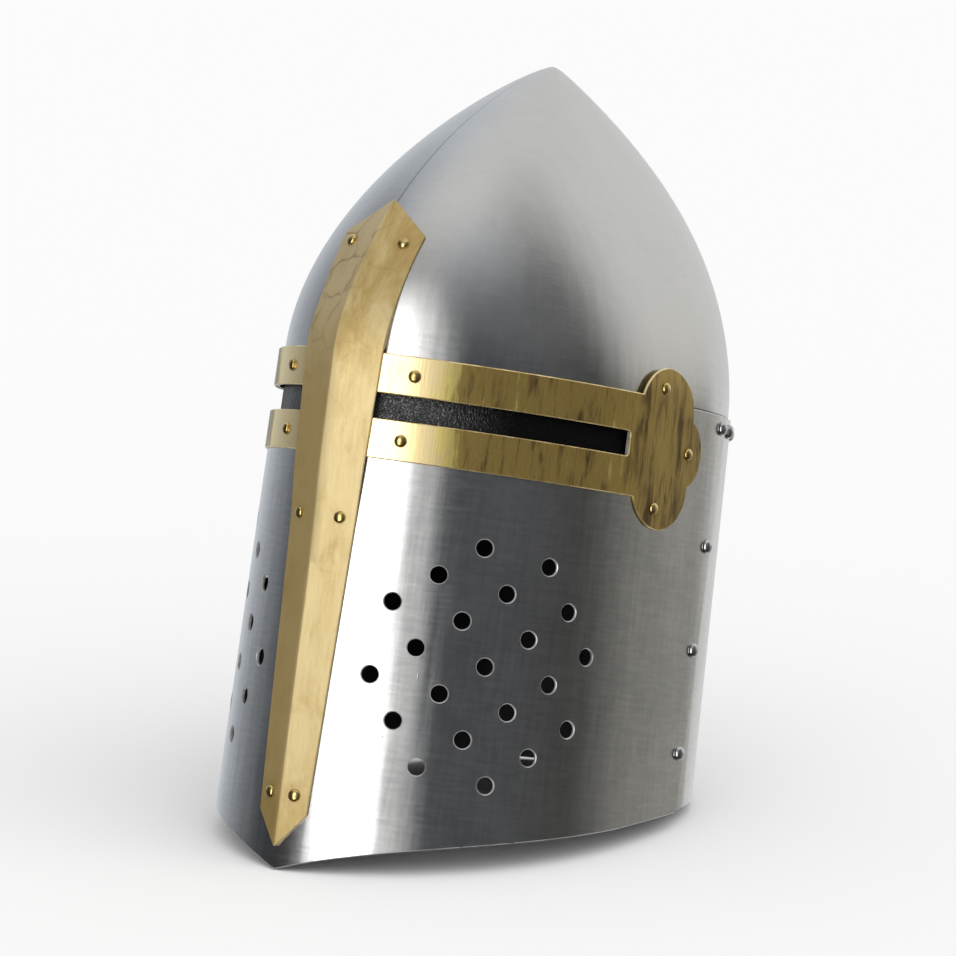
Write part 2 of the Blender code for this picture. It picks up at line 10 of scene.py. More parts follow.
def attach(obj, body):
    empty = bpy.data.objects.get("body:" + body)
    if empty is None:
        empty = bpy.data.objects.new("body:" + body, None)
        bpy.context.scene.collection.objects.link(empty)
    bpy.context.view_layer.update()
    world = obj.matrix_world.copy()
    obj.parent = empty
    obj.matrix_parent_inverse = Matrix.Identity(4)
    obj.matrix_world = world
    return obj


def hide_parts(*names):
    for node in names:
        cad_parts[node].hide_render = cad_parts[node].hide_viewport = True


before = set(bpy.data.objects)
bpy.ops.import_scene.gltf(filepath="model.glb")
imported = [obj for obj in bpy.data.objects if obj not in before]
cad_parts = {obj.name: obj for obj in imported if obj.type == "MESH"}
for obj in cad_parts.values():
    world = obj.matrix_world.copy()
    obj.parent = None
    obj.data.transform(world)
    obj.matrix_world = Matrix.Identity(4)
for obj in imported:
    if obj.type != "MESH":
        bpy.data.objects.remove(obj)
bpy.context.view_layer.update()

MM = 0.001

# Shell, sizes of the skull's outer face at the seam and, named LOW, at the gauge level below it
HALF_WIDTH, LOW_HALF_WIDTH = 106 * MM, 112.5 * MM
FRONT_REACH, LOW_FRONT_REACH = 145.5 * MM, 148.5 * MM
BACK_REACH, LOW_BACK_REACH = 146 * MM, 140 * MM
KEEL_DEPTH, LOW_KEEL_DEPTH = 23 * MM, 20 * MM
LOW_SHIFT = 8 * MM
GAUGE_DROP = 200 * MM
SKULL_MARGIN = 12 * MM
FRONT_FULLNESS, BACK_FULLNESS = 0.8, 0.78

# Dome, its curves fitted to the photograph's outline
DOME_HEIGHT = 179 * MM
APEX_SHIFT = 4.5 * MM
SIDE_RISE, BROW_RISE, BROW_ROUND, NAPE_RISE = 1.644, 1.947, 0.856, 3.267
KEEL_FADE = 1.5
RIDGE_SOFT, RIDGE_OPEN = 0.012, 0.05
APEX_SOFT, NAPE_SOFT = 0.0625, 0.0685

# Stance, as the CAD stands
SEAM_HEIGHT = 232 * MM
LEAN = radians(12.75)
STAND_PLACE = (0.0, 21.943 * MM, 232.38 * MM)
RIM_ARCH = 23 * MM
CHIN_WIDTH = 0.62

# Sheets
STEEL, BRASS, LEATHER, GAP = 1.5 * MM, 1.2 * MM, 2.5 * MM, 0.3 * MM
STEEL_EDGE, BRASS_EDGE = 0.45 * MM, 0.5 * MM
SEAM_REACH, SEAM_SLANT = 268 * MM, 0.075
SEAM_LAP, SEAM_RAMP, SEAM_EDGE = 20 * MM, 95 * MM, 8 * MM
SIGHT_DROP, SIGHT_OPENING, SIGHT_END = 25.2 * MM, 13.2 * MM, 166.5 * MM
SIGHT_START, SIGHT_RELIEF, SIGHT_CORNER = 12 * MM, 0.4 * MM, 2 * MM
ARM_WIDTH, ARM_START = 20.6 * MM, 8 * MM
LOBE_REACH, LOBE_SPREAD, LOBE_RADIUS = 196.5 * MM, 18.4 * MM, 24.5 * MM
REAR_LOBE_REACH, REAR_LOBE_RADIUS = 213 * MM, 19.5 * MM

# Keel strap
STRAP_TOP, STRAP_TOP_SHOULDER, STRAP_TOP_HALF = 83 * MM, 65 * MM, 27 * MM
STRAP_LOW_TIP, STRAP_LOW_SHOULDER, STRAP_LOW_HALF = 12 * MM, 30 * MM, 15 * MM
STRAP_EDGE, STRAP_RIDGE = 1.3 * MM, 2.6 * MM
STRAP_STEP, STRAP_CLEAR, STRAP_SETTLE = 40 * MM, 0.6 * MM, 36 * MM
STRAP_EASE, STRAP_RIDGE_EASE, STRAP_TIP_RUN = 0.3 * MM, 0.12 * MM, 40 * MM

# Breath holes and rivets
BREATH_DIAMETER, BREATH_REACH, BREATH_DROP, BREATH_ROWS = 9 * MM, 96.3 * MM, 151 * MM, 5
BREATH_PITCH_BACK, BREATH_TURN_BACK = 27.4 * MM, radians(37.7)
BREATH_PITCH_DOWN, BREATH_TURN_DOWN = 26.4 * MM, radians(34.1)
BRASS_HEAD, BRASS_HEAD_RISE = 6.6 * MM, 2.2 * MM
STEEL_HEAD, STEEL_HEAD_RISE = 8 * MM, 3.4 * MM
UPPER_ARM_RIVET_REACH, LOWER_ARM_RIVET_REACH = 42 * MM, 39 * MM
LOBE_RIVET_INSET, LOBE_RIVET_FORWARD = 11 * MM, 5 * MM
STRAP_RIVETS = ((59.5 * MM, 0.66), (-85 * MM, 0.62), (-230 * MM, 0.5))
SEAM_RIVET_DROP, SEAM_RIVET_LAST_DROP = 7 * MM, 185 * MM
SEAM_RIVET_SHARES = (0.0, 0.365, 0.685, 1.0)
NAPE_RIVET_DROP, NAPE_RIVETS = 7 * MM, 9
STRAP_RIVET_LIFT, FACET_SPAN = 0.05 * MM, 5 * MM

# Leather band
LINER_TOP, LINER_BOTTOM, LINER_GAP, LINER_EASE = 42 * MM, 64 * MM, 0.6 * MM, 0.8 * MM

# Mesh pitch, and counts of points and rows
OUTLINE_STEP, EDGE_CLEAR = 3 * MM, 0.9 * MM
PLATE_PITCH, BAND_PITCH = (3 * MM, 5 * MM), (3 * MM, 3 * MM)
KEEL_COLUMNS = [0.6 * MM, 1.2 * MM, 2 * MM]
LOBE_POINTS, REAR_LOBE_POINTS, CORNER_POINTS, HOLE_POINTS = 44, 34, 6, 30
RING_COLUMNS, SKULL_ROWS, LINER_ROWS = 256, 96, 40
STRAP_ROWS, STRAP_TOP_ROWS, STRAP_COLUMNS = 110, 28, 13
FACET_SHARES = [0.75, 0.5, 0.25, 0.035]
HEAD_SIDES, HEAD_ROWS, HEAD_SPREAD = 28, 10, (0.95, 1.03)
LAST_SKULL_ROW, ROW_GATHER, COLUMN_GATHER = 0.985, 1.6, 1.12
CREASE, STRAP_CREASE = radians(30.0), radians(9.0)
MITRE_LIMIT, BATCH = 0.4, 2000

# Camera, lengths in metres and the shift in shares of the picture's width
CAMERA_TURN, CAMERA_ROLL = radians(36.5), radians(0.4)
CAMERA_AWAY, CAMERA_HEIGHT, AIM_HEIGHT = 2.005, 0.4855, 0.185
LENS, SENSOR, LENS_SHIFT = 138.5, 36.0, (-25.0 / 956, -6.0 / 956)
FLOOR_REACH = 40.0

STAND = Matrix.Translation(STAND_PLACE) @ Matrix.Rotation(-LEAN, 4, "X")


# Shell formulas, on arrays of angles and heights

TURNS = np.linspace(0.0, pi, 1801)
NORMAL_TURN, NORMAL_RISE = 0.004, 0.4 * MM
HALVINGS, RIM_ROUNDS = 34, 20


def level_sizes(height):
    """Half width, front reach, back reach, keel depth and centre line of the sections at heights."""
    down = np.maximum(-height, 0.0) / GAUGE_DROP
    up = np.clip(height / DOME_HEIGHT, 0.0, 1.0)
    side = 1 - up ** SIDE_RISE
    side = np.sqrt(side * (side + APEX_SOFT) / (1 + APEX_SOFT))
    centre = LOW_SHIFT * down + APEX_SHIFT * up
    width = (HALF_WIDTH + (LOW_HALF_WIDTH - HALF_WIDTH) * down) * side
    brow = (FRONT_REACH + APEX_SHIFT) * (1 - up ** BROW_RISE) ** BROW_ROUND - APEX_SHIFT * (1 - up)
    front = brow + (LOW_FRONT_REACH - FRONT_REACH) * down
    rear = 1 - up ** NAPE_RISE
    rear = np.sqrt(rear * (rear + NAPE_SOFT) / (1 + NAPE_SOFT))
    nape = (BACK_REACH - APEX_SHIFT) * rear + APEX_SHIFT * (1 - up)
    back = nape + (LOW_BACK_REACH - BACK_REACH) * down
    keel = (KEEL_DEPTH + (LOW_KEEL_DEPTH - KEEL_DEPTH) * down) * side * (1 - up) ** KEEL_FADE
    return width, front, back, keel, centre


def section(turn, height):
    """Points of the shell at angles from the keel, positive toward the wearer's left."""
    turn, height = np.broadcast_arrays(np.asarray(turn, float), np.asarray(height, float))
    width, front, back, keel, centre = level_sizes(height)
    along = np.cos(turn)
    soft = RIDGE_SOFT + RIDGE_OPEN * np.clip(height / DOME_HEIGHT, 0.0, 1.0)
    across = (np.sqrt(np.sin(turn) ** 2 + soft ** 2) - soft) / (np.sqrt(1 + soft ** 2) - soft)
    ahead = centre - (front - keel) * np.abs(along) ** FRONT_FULLNESS - keel * (1 - across)
    behind = centre + back * np.abs(along) ** BACK_FULLNESS
    return np.stack((width * np.sin(turn), np.where(along >= 0, ahead, behind), height), axis=-1)


def outward(turn, height):
    """Unit normals of the shell."""
    turn, height = np.broadcast_arrays(np.asarray(turn, float), np.asarray(height, float))
    round_way = section(turn + NORMAL_TURN, height) - section(turn - NORMAL_TURN, height)
    up_way = section(turn, height + NORMAL_RISE) - section(turn, height - NORMAL_RISE)
    normal = np.cross(round_way, up_way)
    return normal / np.linalg.norm(normal, axis=-1, keepdims=True)


def lengths_round(height):
    """Lengths round one section from the keel, one for each of the angles in TURNS."""
    steps = np.linalg.norm(np.diff(section(TURNS, height), axis=0), axis=1)
    return np.concatenate(([0.0], np.cumsum(steps)))


SEAM_LENGTHS = lengths_round(0.0)
LOW_LENGTHS = lengths_round(-GAUGE_DROP)


def reach_at(turn, height):
    """Length round the helmet from the keel to an angle."""
    share = np.maximum(-np.asarray(height, float), 0.0) / GAUGE_DROP
    near, far = (np.interp(np.abs(turn), TURNS, table) for table in (SEAM_LENGTHS, LOW_LENGTHS))
    return np.copysign(near + (far - near) * share, turn)


def turn_at(reach, height):
    """Angle at a length round the helmet from the keel, found by halving."""
    reach, height = np.broadcast_arrays(np.asarray(reach, float), np.asarray(height, float))
    low, high = np.zeros(reach.shape), np.full(reach.shape, pi)
    for _ in range(HALVINGS):
        middle = (low + high) / 2
        short = reach_at(middle, height) < np.abs(reach)
        low, high = np.where(short, middle, low), np.where(short, high, middle)
    return np.copysign((low + high) / 2, reach)


def half_round(height):
    """Length from the keel to the middle of the back."""
    return reach_at(pi, height)


def back_turn(reach, height):
    """Angle at a length from the middle of the back, positive toward the wearer's right."""
    return -np.copysign(turn_at(half_round(height) - np.abs(reach), height), reach)


def rim_height(turn):
    """Height, on the upright helmet, where the leaning cut of the rim crosses the shell."""
    lift = RIM_ARCH * (1 - np.exp(-np.abs(turn) / CHIN_WIDTH)) * (1 + np.cos(turn)) / 2
    at_seam, at_gauge = section(turn, 0.0)[..., 1], section(turn, -GAUGE_DROP)[..., 1]
    drift = (at_seam - at_gauge) / GAUGE_DROP
    return (lift - SEAM_HEIGHT + at_seam * sin(LEAN)) / (cos(LEAN) - drift * sin(LEAN))


def seam_edge(height):
    """Length from the keel to the slanted rear edge of the face plate."""
    return SEAM_REACH + SEAM_SLANT * height


def place(turn, height, lift):
    """Points lifted off the shell along its normals."""
    lift = np.asarray(lift, float)
    return section(turn, height) + outward(turn, height) * lift[..., None]


# Outlines on the flat pattern

def along(corners, step):
    """Closed outline with points added so that no side is longer than the step."""
    points = []
    for near, far in zip(corners, corners[1:] + corners[:1]):
        count = max(1, round(hypot(far[0] - near[0], far[1] - near[1]) / step))
        points += [(near[0] + (far[0] - near[0]) * i / count, near[1] + (far[1] - near[1]) * i / count)
                   for i in range(count)]
    return points


def arc(centre, radius, start, end, count):
    """Points round a circle from one angle up to, but without, the other."""
    angles = [start + (end - start) * index / count for index in range(count)]
    return [(centre[0] + radius * cos(angle), centre[1] + radius * sin(angle)) for angle in angles]


def rim_of(turn_of, limit_of, side_step):
    """Rim points between the two slanted edges of a plate, settled round by round."""
    height = -SEAM_HEIGHT
    for _ in range(RIM_ROUNDS):
        height = float(rim_height(turn_of(limit_of(height), height)))
    limit = float(limit_of(height))
    reach = np.linspace(-limit, limit, int(2 * limit / side_step))
    heights = np.full(reach.shape, height)
    for _ in range(RIM_ROUNDS):
        heights = rim_height(turn_of(reach, heights))
    return list(zip(reach.tolist(), heights.tolist()))


def plate_outline(turn_of, limit_of):
    """Rim, slanted sides and straight top of a plate."""
    rim = rim_of(turn_of, limit_of, OUTLINE_STEP)
    top = float(limit_of(0.0))
    sides = along([rim[-1], (top, 0.0), (-top, 0.0), rim[0]], OUTLINE_STEP)
    count = len(along([rim[0], rim[-1]], OUTLINE_STEP)) // 2
    return rim + sides[1:len(sides) - count]


def sight_outline(side):
    half, end = SIGHT_OPENING / 2 + SIGHT_RELIEF, SIGHT_END + SIGHT_RELIEF
    corners = [(SIGHT_START, -SIGHT_DROP - half), (end, -SIGHT_DROP - half),
               (end, -SIGHT_DROP + half), (SIGHT_START, -SIGHT_DROP + half)]
    return [(side * reach, height) for reach, height in along(corners, OUTLINE_STEP)]


def breath_centres():
    """Breath holes of one side, a slanted grid of five by five without its four corners."""
    reach = (BREATH_ROWS - 1) // 2
    away = BREATH_PITCH_BACK * cos(BREATH_TURN_BACK), BREATH_PITCH_BACK * sin(BREATH_TURN_BACK)
    down = BREATH_PITCH_DOWN * sin(BREATH_TURN_DOWN), -BREATH_PITCH_DOWN * cos(BREATH_TURN_DOWN)
    return [(BREATH_REACH + row * down[0] + column * away[0],
             -BREATH_DROP + row * down[1] + column * away[1])
            for row in range(-reach, reach + 1) for column in range(-reach, reach + 1)
            if abs(row) < reach or abs(column) < reach]


def arm_top():
    return -SIGHT_DROP + SIGHT_OPENING / 2 + ARM_WIDTH


def arm_bottom():
    return -SIGHT_DROP - SIGHT_OPENING / 2 - ARM_WIDTH


def band_outline(side):
    """Two arms and the trefoil that joins them behind the sight."""
    middle, half, top = -SIGHT_DROP, SIGHT_OPENING / 2, arm_top()
    upper, rear = (LOBE_REACH, middle + LOBE_SPREAD), (REAR_LOBE_REACH, middle)
    gap = hypot(rear[0] - upper[0], rear[1] - upper[1])
    reach = (LOBE_RADIUS ** 2 - REAR_LOBE_RADIUS ** 2 + gap ** 2) / (2 * gap)
    off = (LOBE_RADIUS ** 2 - reach ** 2) ** 0.5
    ahead = (rear[0] - upper[0]) / gap, (rear[1] - upper[1]) / gap
    notch = (upper[0] + ahead[0] * reach - ahead[1] * off, upper[1] + ahead[1] * reach + ahead[0] * off)
    neck = LOBE_REACH - (LOBE_RADIUS ** 2 - (top - upper[1]) ** 2) ** 0.5
    start, end = atan2(top - upper[1], neck - upper[0]), atan2(notch[1] - upper[1], notch[0] - upper[0])
    spread = atan2(notch[1] - middle, notch[0] - rear[0])
    lobe = arc(upper, LOBE_RADIUS, start, end, LOBE_POINTS)
    mirrored = [(reach, 2 * middle - height) for reach, height in reversed(lobe)]
    corner = (SIGHT_END - SIGHT_CORNER, middle - half + SIGHT_CORNER)
    low = arc(corner, SIGHT_CORNER, -pi / 2, 0, CORNER_POINTS) + [(SIGHT_END, corner[1])]
    high = [(reach, 2 * middle - height) for reach, height in reversed(low)]
    foot = (ARM_START, 2 * middle - top)
    lower_edge = along([mirrored[-1], foot, (ARM_START, middle - half), low[0]], OUTLINE_STEP)
    upper_edge = along([high[-1], (ARM_START, middle + half), (ARM_START, top), lobe[0]], OUTLINE_STEP)
    back = lambda points, last, first: points[1:len(points) - len(along([last, first], OUTLINE_STEP)) // 2]
    outline = lobe + arc(rear, REAR_LOBE_RADIUS, spread, -spread, REAR_LOBE_POINTS)
    outline += [(notch[0], 2 * middle - notch[1])] + mirrored + back(lower_edge, low[0], mirrored[-1])
    outline += low + high + back(upper_edge, lobe[0], high[-1])
    return [(side * reach, height) for reach, height in outline]


# Meshes

def finish_mesh(name, points, faces, materials, pattern, crease=CREASE, face_materials=None):
    """Piece with its place in its mesh, its length round and height kept as a UV map."""
    turn = np.array(STAND.to_3x3())
    world = np.asarray(points) @ turn.T + np.array(STAND.translation)
    data = bpy.data.meshes.new(name)
    data.from_pydata(world.tolist(), [], faces)
    for material in materials:
        data.materials.append(material)
    if face_materials is not None:
        data.polygons.foreach_set("material_index", np.asarray(face_materials, np.int32))
    layer = data.uv_layers.new(name="Pattern")
    corner_vertex = np.empty(len(data.loops), int)
    data.loops.foreach_get("vertex_index", corner_vertex)
    layer.data.foreach_set("uv", np.asarray(pattern, np.float32)[corner_vertex].ravel())
    data.validate()
    data.shade_smooth()
    data.set_sharp_from_angle(angle=crease)
    piece = bpy.data.objects.new(name, data)
    bpy.context.scene.collection.objects.link(piece)
    return piece


def inset(outline, distance):
    """Outline moved toward the material, which lies on its left."""
    points = np.array(outline)
    before, after = np.roll(points, 1, axis=0), np.roll(points, -1, axis=0)
    ways = [(far - near) / np.linalg.norm(far - near, axis=1, keepdims=True)
            for near, far in ((before, points), (points, after))]
    sides = [np.stack((-way[:, 1], way[:, 0]), axis=1) for way in ways]
    middle = sides[0] + sides[1]
    middle /= np.maximum(np.sum(middle * sides[0], axis=1, keepdims=True), MITRE_LIMIT)
    return points + middle * distance


def area_of(outline):
    """Area inside an outline, below zero where it runs clockwise."""
    points = np.array(outline)
    after = np.roll(points, -1, axis=0)
    return float(np.sum(points[:, 0] * after[:, 1] - points[:, 1] * after[:, 0])) / 2


def inside(points, loops):
    """Which points lie inside the outer loop and outside the holes."""
    hits = np.zeros(len(points), int)
    for loop in loops:
        near, far = np.array(loop), np.roll(np.array(loop), -1, axis=0)
        for (x0, y0), (x1, y1) in zip(near, far):
            if y0 == y1:
                continue
            crosses = (points[:, 1] < y0) != (points[:, 1] < y1)
            where = x0 + (points[:, 1] - y0) * (x1 - x0) / (y1 - y0)
            hits += crosses & (points[:, 0] < where)
    return hits % 2 == 1


def clear_of(points, loops, distance):
    """Points that keep a distance from all outlines."""
    marks = np.concatenate([np.array(loop) for loop in loops])
    keep = np.ones(len(points), bool)
    for start in range(0, len(points), BATCH):
        part = points[start:start + BATCH]
        apart = np.linalg.norm(part[:, None, :] - marks[None, :, :], axis=2).min(axis=1)
        keep[start:start + BATCH] = apart > distance
    return points[keep]


def make_sheet(name, outlines, turn_of, lift_of, thickness, edge, materials, pitch=PLATE_PITCH):
    """Plate cut flat and laid on the shell, in materials for its face, its eased edges and its back."""
    loops = []
    for index, outline in enumerate(outlines):
        if (area_of(outline) > 0) != (index == 0):
            outline = outline[::-1]
        loops.append(outline)
    rings = loops + [inset(loop, edge) for loop in loops]
    outer = np.array(loops[0])
    columns = np.arange(0.0, np.abs(outer[:, 0]).max(), pitch[0])
    columns = np.concatenate((columns, KEEL_COLUMNS))
    columns = np.unique(np.round(np.concatenate((-columns, columns)), 7))
    rows = np.arange(outer[:, 1].min(), outer[:, 1].max(), pitch[1])
    grid = np.stack(np.meshgrid(columns, rows), axis=-1).reshape(-1, 2)
    grid = clear_of(grid[inside(grid, loops)], rings, EDGE_CLEAR)
    sides, start = [], 0
    for ring in rings:
        sides += [(start + i, start + (i + 1) % len(ring)) for i in range(len(ring))]
        start += len(ring)
    edge_count = sum(len(loop) for loop in loops)
    points = [Vector(point) for point in np.concatenate(rings + [grid]).tolist()]
    flat, _, faces, origin, _, _ = delaunay_2d_cdt(points, sides, [], 0, 1e-8)
    flat = np.array([(point.x, point.y) for point in flat])
    on_edge = np.array([any(i < edge_count for i in sources) for sources in origin])
    faces = np.array([face for face in faces if len(face) == 3])
    faces = faces[inside(flat[faces].mean(axis=1), loops)]
    reach, height = flat[:, 0], flat[:, 1]
    turn, lift = turn_of(reach, height), lift_of(reach, height)
    top = place(turn, height, lift + thickness - np.where(on_edge, edge, 0.0))
    low = place(turn, height, lift)
    count = len(flat)
    ahead = np.concatenate([faces[:, [0, 1]], faces[:, [1, 2]], faces[:, [2, 0]]]).tolist()
    known = {(a, b) for a, b in ahead}
    walls = [(b, a, a + count, b + count) for a, b in ahead if (b, a) not in known]
    every = faces.tolist() + (faces + count)[:, ::-1].tolist() + walls
    eased = on_edge[faces].any(axis=1).astype(int).tolist()
    return finish_mesh(name, np.concatenate((top, low)), every, materials, np.concatenate((flat, flat)),
                       face_materials=eased + [2] * len(faces) + [1] * len(walls))


def make_shell(name, rows, lifts, materials, apex=None, columns=RING_COLUMNS):
    """Closed wall of rings at heights and lifts, the last of the materials on its inner face.

    An apex is the last outer row and the heights of the outer and inner tips.
    """
    turns = np.linspace(-pi, pi, columns, endpoint=False)
    turns = np.sign(turns) * pi * (np.abs(turns) / pi) ** COLUMN_GATHER
    points, pattern = [], []
    for height, lift in zip(rows, lifts):
        points.append(place(turns, height, np.full(columns, lift)))
        pattern.append(np.stack((reach_at(turns, min(height, 0.0)), np.full(columns, height)), axis=1))
    faces = []
    count = len(rows)
    for row in range(count if apex is None else count - 1):
        if apex is not None and row == apex[0]:
            continue
        after = (row + 1) % count
        for i in range(columns):
            j = (i + 1) % columns
            faces.append((row * columns + i, row * columns + j, after * columns + j, after * columns + i))
    points, pattern = np.concatenate(points), np.concatenate(pattern)
    if apex is not None:
        row, heights = apex
        tips = [(0.0, APEX_SHIFT, height) for height in heights]
        points = np.concatenate((points, tips))
        pattern = np.concatenate((pattern, [(0.0, height) for height in heights]))
        first = count * columns
        for i in range(columns):
            j = (i + 1) % columns
            faces.append((row * columns + i, row * columns + j, first))
            faces.append(((row + 1) * columns + j, (row + 1) * columns + i, first + 1))
        last = (count - 1) * columns
        faces += [(last + i, last + (i + 1) % columns, (i + 1) % columns, i) for i in range(columns)]
    first_inner = (apex[0] + 1) * columns if apex is not None else len(points)
    inner = [int(min(face[:2]) >= first_inner) * (len(materials) - 1) for face in faces]
    return finish_mesh(name, points, faces, materials, pattern, face_materials=inner)


# Finishes

class Wire:
    """A shader socket on which arithmetic adds Math nodes."""

    def __init__(self, finish, socket):
        self.finish, self.socket = finish, socket

    def maths(self, operation, first, second=0.0):
        return self.finish.node("ShaderNodeMath", {"operation": operation}, {0: first, 1: second})

    def __add__(self, other):
        return self.maths("ADD", self, other)

    def __sub__(self, other):
        return self.maths("SUBTRACT", self, other)

    def __mul__(self, other):
        return self.maths("MULTIPLY", self, other)

    def __rsub__(self, other):
        return self.maths("SUBTRACT", other, self)

    __radd__, __rmul__ = __add__, __mul__

    def size(self):
        """The value without its sign."""
        return self.maths("ABSOLUTE", self)

    def between(self, low, high):
        """0 below the first value and 1 above the second, eased between them."""
        return self.finish.node("ShaderNodeMapRange", {"interpolation_type": "SMOOTHSTEP"},
                                {"Value": self, "From Min": low, "From Max": high})

    def within(self, first, second, third, fourth):
        """1 between the middle two values and 0 outside the outer two, eased between them."""
        return self.between(first, second) * (1.0 - self.between(third, fourth))


class Finish:
    """The nodes of one material, or of the world."""

    def __init__(self, owner, shader="Principled BSDF"):
        self.owner = owner
        owner.use_nodes = True
        self.tree = owner.node_tree
        self.shader = self.tree.nodes[shader]

    def node(self, kind, settings=None, sockets=None, output=0):
        """Any node, with its settings, what feeds its inputs, and one output as a wire."""
        node = self.tree.nodes.new(kind)
        for key, value in (settings or {}).items():
            setattr(node, key, value)
        for key, value in (sockets or {}).items():
            self.feed(node.inputs[key], value)
        return Wire(self, node.outputs[output])

    def feed(self, socket, value):
        if isinstance(value, Wire):
            self.tree.links.new(value.socket, socket)
        elif isinstance(value, tuple) and len(value) == 3 and socket.type == "RGBA":
            socket.default_value = (*value, 1.0)
        else:
            socket.default_value = value

    def set(self, **values):
        """Feed the shader's inputs by their names, and hand back the material."""
        for key, value in values.items():
            self.feed(self.shader.inputs[key.replace("_", " ").title().replace("Ior", "IOR")], value)
        return self.owner

    def scaled(self, spot, scale, shift=(0.0, 0.0, 0.0)):
        return self.node("ShaderNodeMapping", {}, {"Vector": spot, "Scale": scale, "Location": shift})

    def pattern(self, scale=(1.0, 1.0, 1.0), shift=(0.0, 0.0, 0.0)):
        """The piece's own flat pattern, length round by height in metres, times a scale each way."""
        return self.scaled(self.node("ShaderNodeUVMap", {"uv_map": "Pattern"}), scale, shift)

    def upright(self, scale, shift=(0.0, 0.0, 0.0)):
        """Place on the helmet held upright, in metres, times a scale each way."""
        spot = self.node("ShaderNodeTexCoord", {}, {}, output=3)
        turned = self.node("ShaderNodeMapping", {}, {"Vector": spot, "Rotation": (LEAN, 0.0, 0.0)})
        return self.scaled(turned, scale, shift)

    def parts(self, spot):
        """The three coordinates of a place, a wire each."""
        return [Wire(self, value) for value in
                self.node("ShaderNodeSeparateXYZ", {}, {"Vector": spot}).socket.node.outputs]

    def noise(self, spot, detail=3.0, rough=0.55, bend=0.0):
        return self.node("ShaderNodeTexNoise", {}, {"Vector": spot, "Scale": 1.0, "Detail": detail,
                                                    "Roughness": rough, "Distortion": bend})

    def cells(self, spot, feature="F1", even=1.0):
        """Distance from the nearest cell middle, or from the cell border."""
        return self.node("ShaderNodeTexVoronoi", {"feature": feature},
                         {"Vector": spot, "Scale": 1.0, "Randomness": even})

    def blend(self, share, first, second):
        """Colour that goes from the first to the second with the share."""
        return self.node("ShaderNodeMix", {"data_type": "RGBA"}, {0: share, 6: first, 7: second}, output=2)

    def mix_with(self, other, share):
        """Lay the main shader over another one, by a share that varies over the surface."""
        ends = {0: share, 1: other, 2: Wire(self, self.shader.outputs[0])}
        mixed = self.node("ShaderNodeMixShader", {}, ends)
        self.feed(self.tree.nodes["Material Output"].inputs["Surface"], mixed)

    def bump(self, height, distance, strength=1.0, normal=None):
        sockets = {"Height": height, "Distance": distance, "Strength": strength}
        if normal is not None:
            sockets["Normal"] = normal
        return self.node("ShaderNodeBump", {}, sockets)


def steel_finish():
    """Satin sheet steel: crossed brush marks, waves, clouds, small pits and scratches, with painted shade
    along the ridge and a painted shadow at the seam.
    """
    finish = Finish(bpy.data.materials.new("satin_steel"))
    reach, height, _ = finish.parts(finish.pattern())
    level = finish.noise(finish.upright((55.0, 55.0, 460.0)), 4.0, 0.68)
    upward = finish.noise(finish.upright((420.0, 420.0, 38.0), (3.0, 7.0, 1.0)), 4.0, 0.68)
    cloud = finish.noise(finish.upright((24.0, 24.0, 16.0)), 5.0, 0.62)
    wave = finish.noise(finish.upright((42.0, 42.0, 3.0), (5.0, 2.0, 0.0)), 2.0, 0.5)
    spots = finish.noise(finish.upright((30.0, 30.0, 30.0), (9.0, 4.0, 6.0))).between(0.56, 0.62)
    pits = (1.0 - finish.cells(finish.upright((110.0, 110.0, 110.0))).between(0.03, 0.07)) * spots
    strokes = finish.cells(finish.upright((190.0, 190.0, 20.0), (2.0, 1.0, 4.0)))
    scratches = (1.0 - strokes.between(0.02, 0.06)) * cloud.between(0.5, 0.58)
    marks = level * 0.55 + upward * 0.45
    skull = height.between(0.0, 0.03)
    rough = 0.1 + 0.12 * marks + 0.06 * cloud + 0.2 * pits + 0.07 * skull
    light, dark = (0.69, 0.69, 0.69), (0.55, 0.555, 0.56)
    tone = finish.blend((cloud * 0.4 + marks * 0.6).between(0.36, 0.62), dark, light)
    tone = finish.blend(skull * 0.72, tone, (0.655, 0.655, 0.65))
    tone = finish.blend(pits * 0.6, tone, (0.16, 0.155, 0.15))
    # Painted shade: a faint dark line down the ridge of the skull, for the change of shade where its two
    # sides meet.
    line = (1.0 - reach.size().between(0.2 * MM, 1.5 * MM)) * height.between(0.03, 0.06)
    # Painted shadow: a dark band on the skull just above the top edge of the plates.
    seam = height.within(0.0, 0.2 * MM, 0.8 * MM, 1.8 * MM)
    tone = finish.blend(line * 0.4 + seam * 0.85, tone, (0.05, 0.05, 0.052))
    normal = finish.bump(wave, 0.45 * MM)
    normal = finish.bump(marks, 0.036 * MM, 1.0, normal)
    normal = finish.bump(scratches - pits * 0.4, 0.05 * MM, 0.5, normal)
    return finish.set(base_color=tone, roughness=rough, metallic=1.0, normal=normal)


def near_black_finish():
    """Near-black inner face of the plates, dull and a little uneven."""
    finish = Finish(bpy.data.materials.new("near_black_inside"))
    cloud = finish.noise(finish.upright((60.0, 60.0, 60.0)), 4.0, 0.6)
    grain = finish.noise(finish.upright((700.0, 700.0, 700.0)), 2.0, 0.6)
    tone = finish.blend(cloud.between(0.35, 0.7), (0.008, 0.008, 0.009), (0.028, 0.027, 0.026))
    return finish.set(base_color=tone, roughness=0.62 + 0.15 * grain,
                      normal=finish.bump(grain, 0.05 * MM, 0.5))


PALE_BRASS, BRIGHT_BRASS = (0.92, 0.73, 0.39), (0.94, 0.77, 0.25)
DULL_BRASS, BROWN_BRASS = (0.36, 0.25, 0.072), (0.085, 0.055, 0.02)


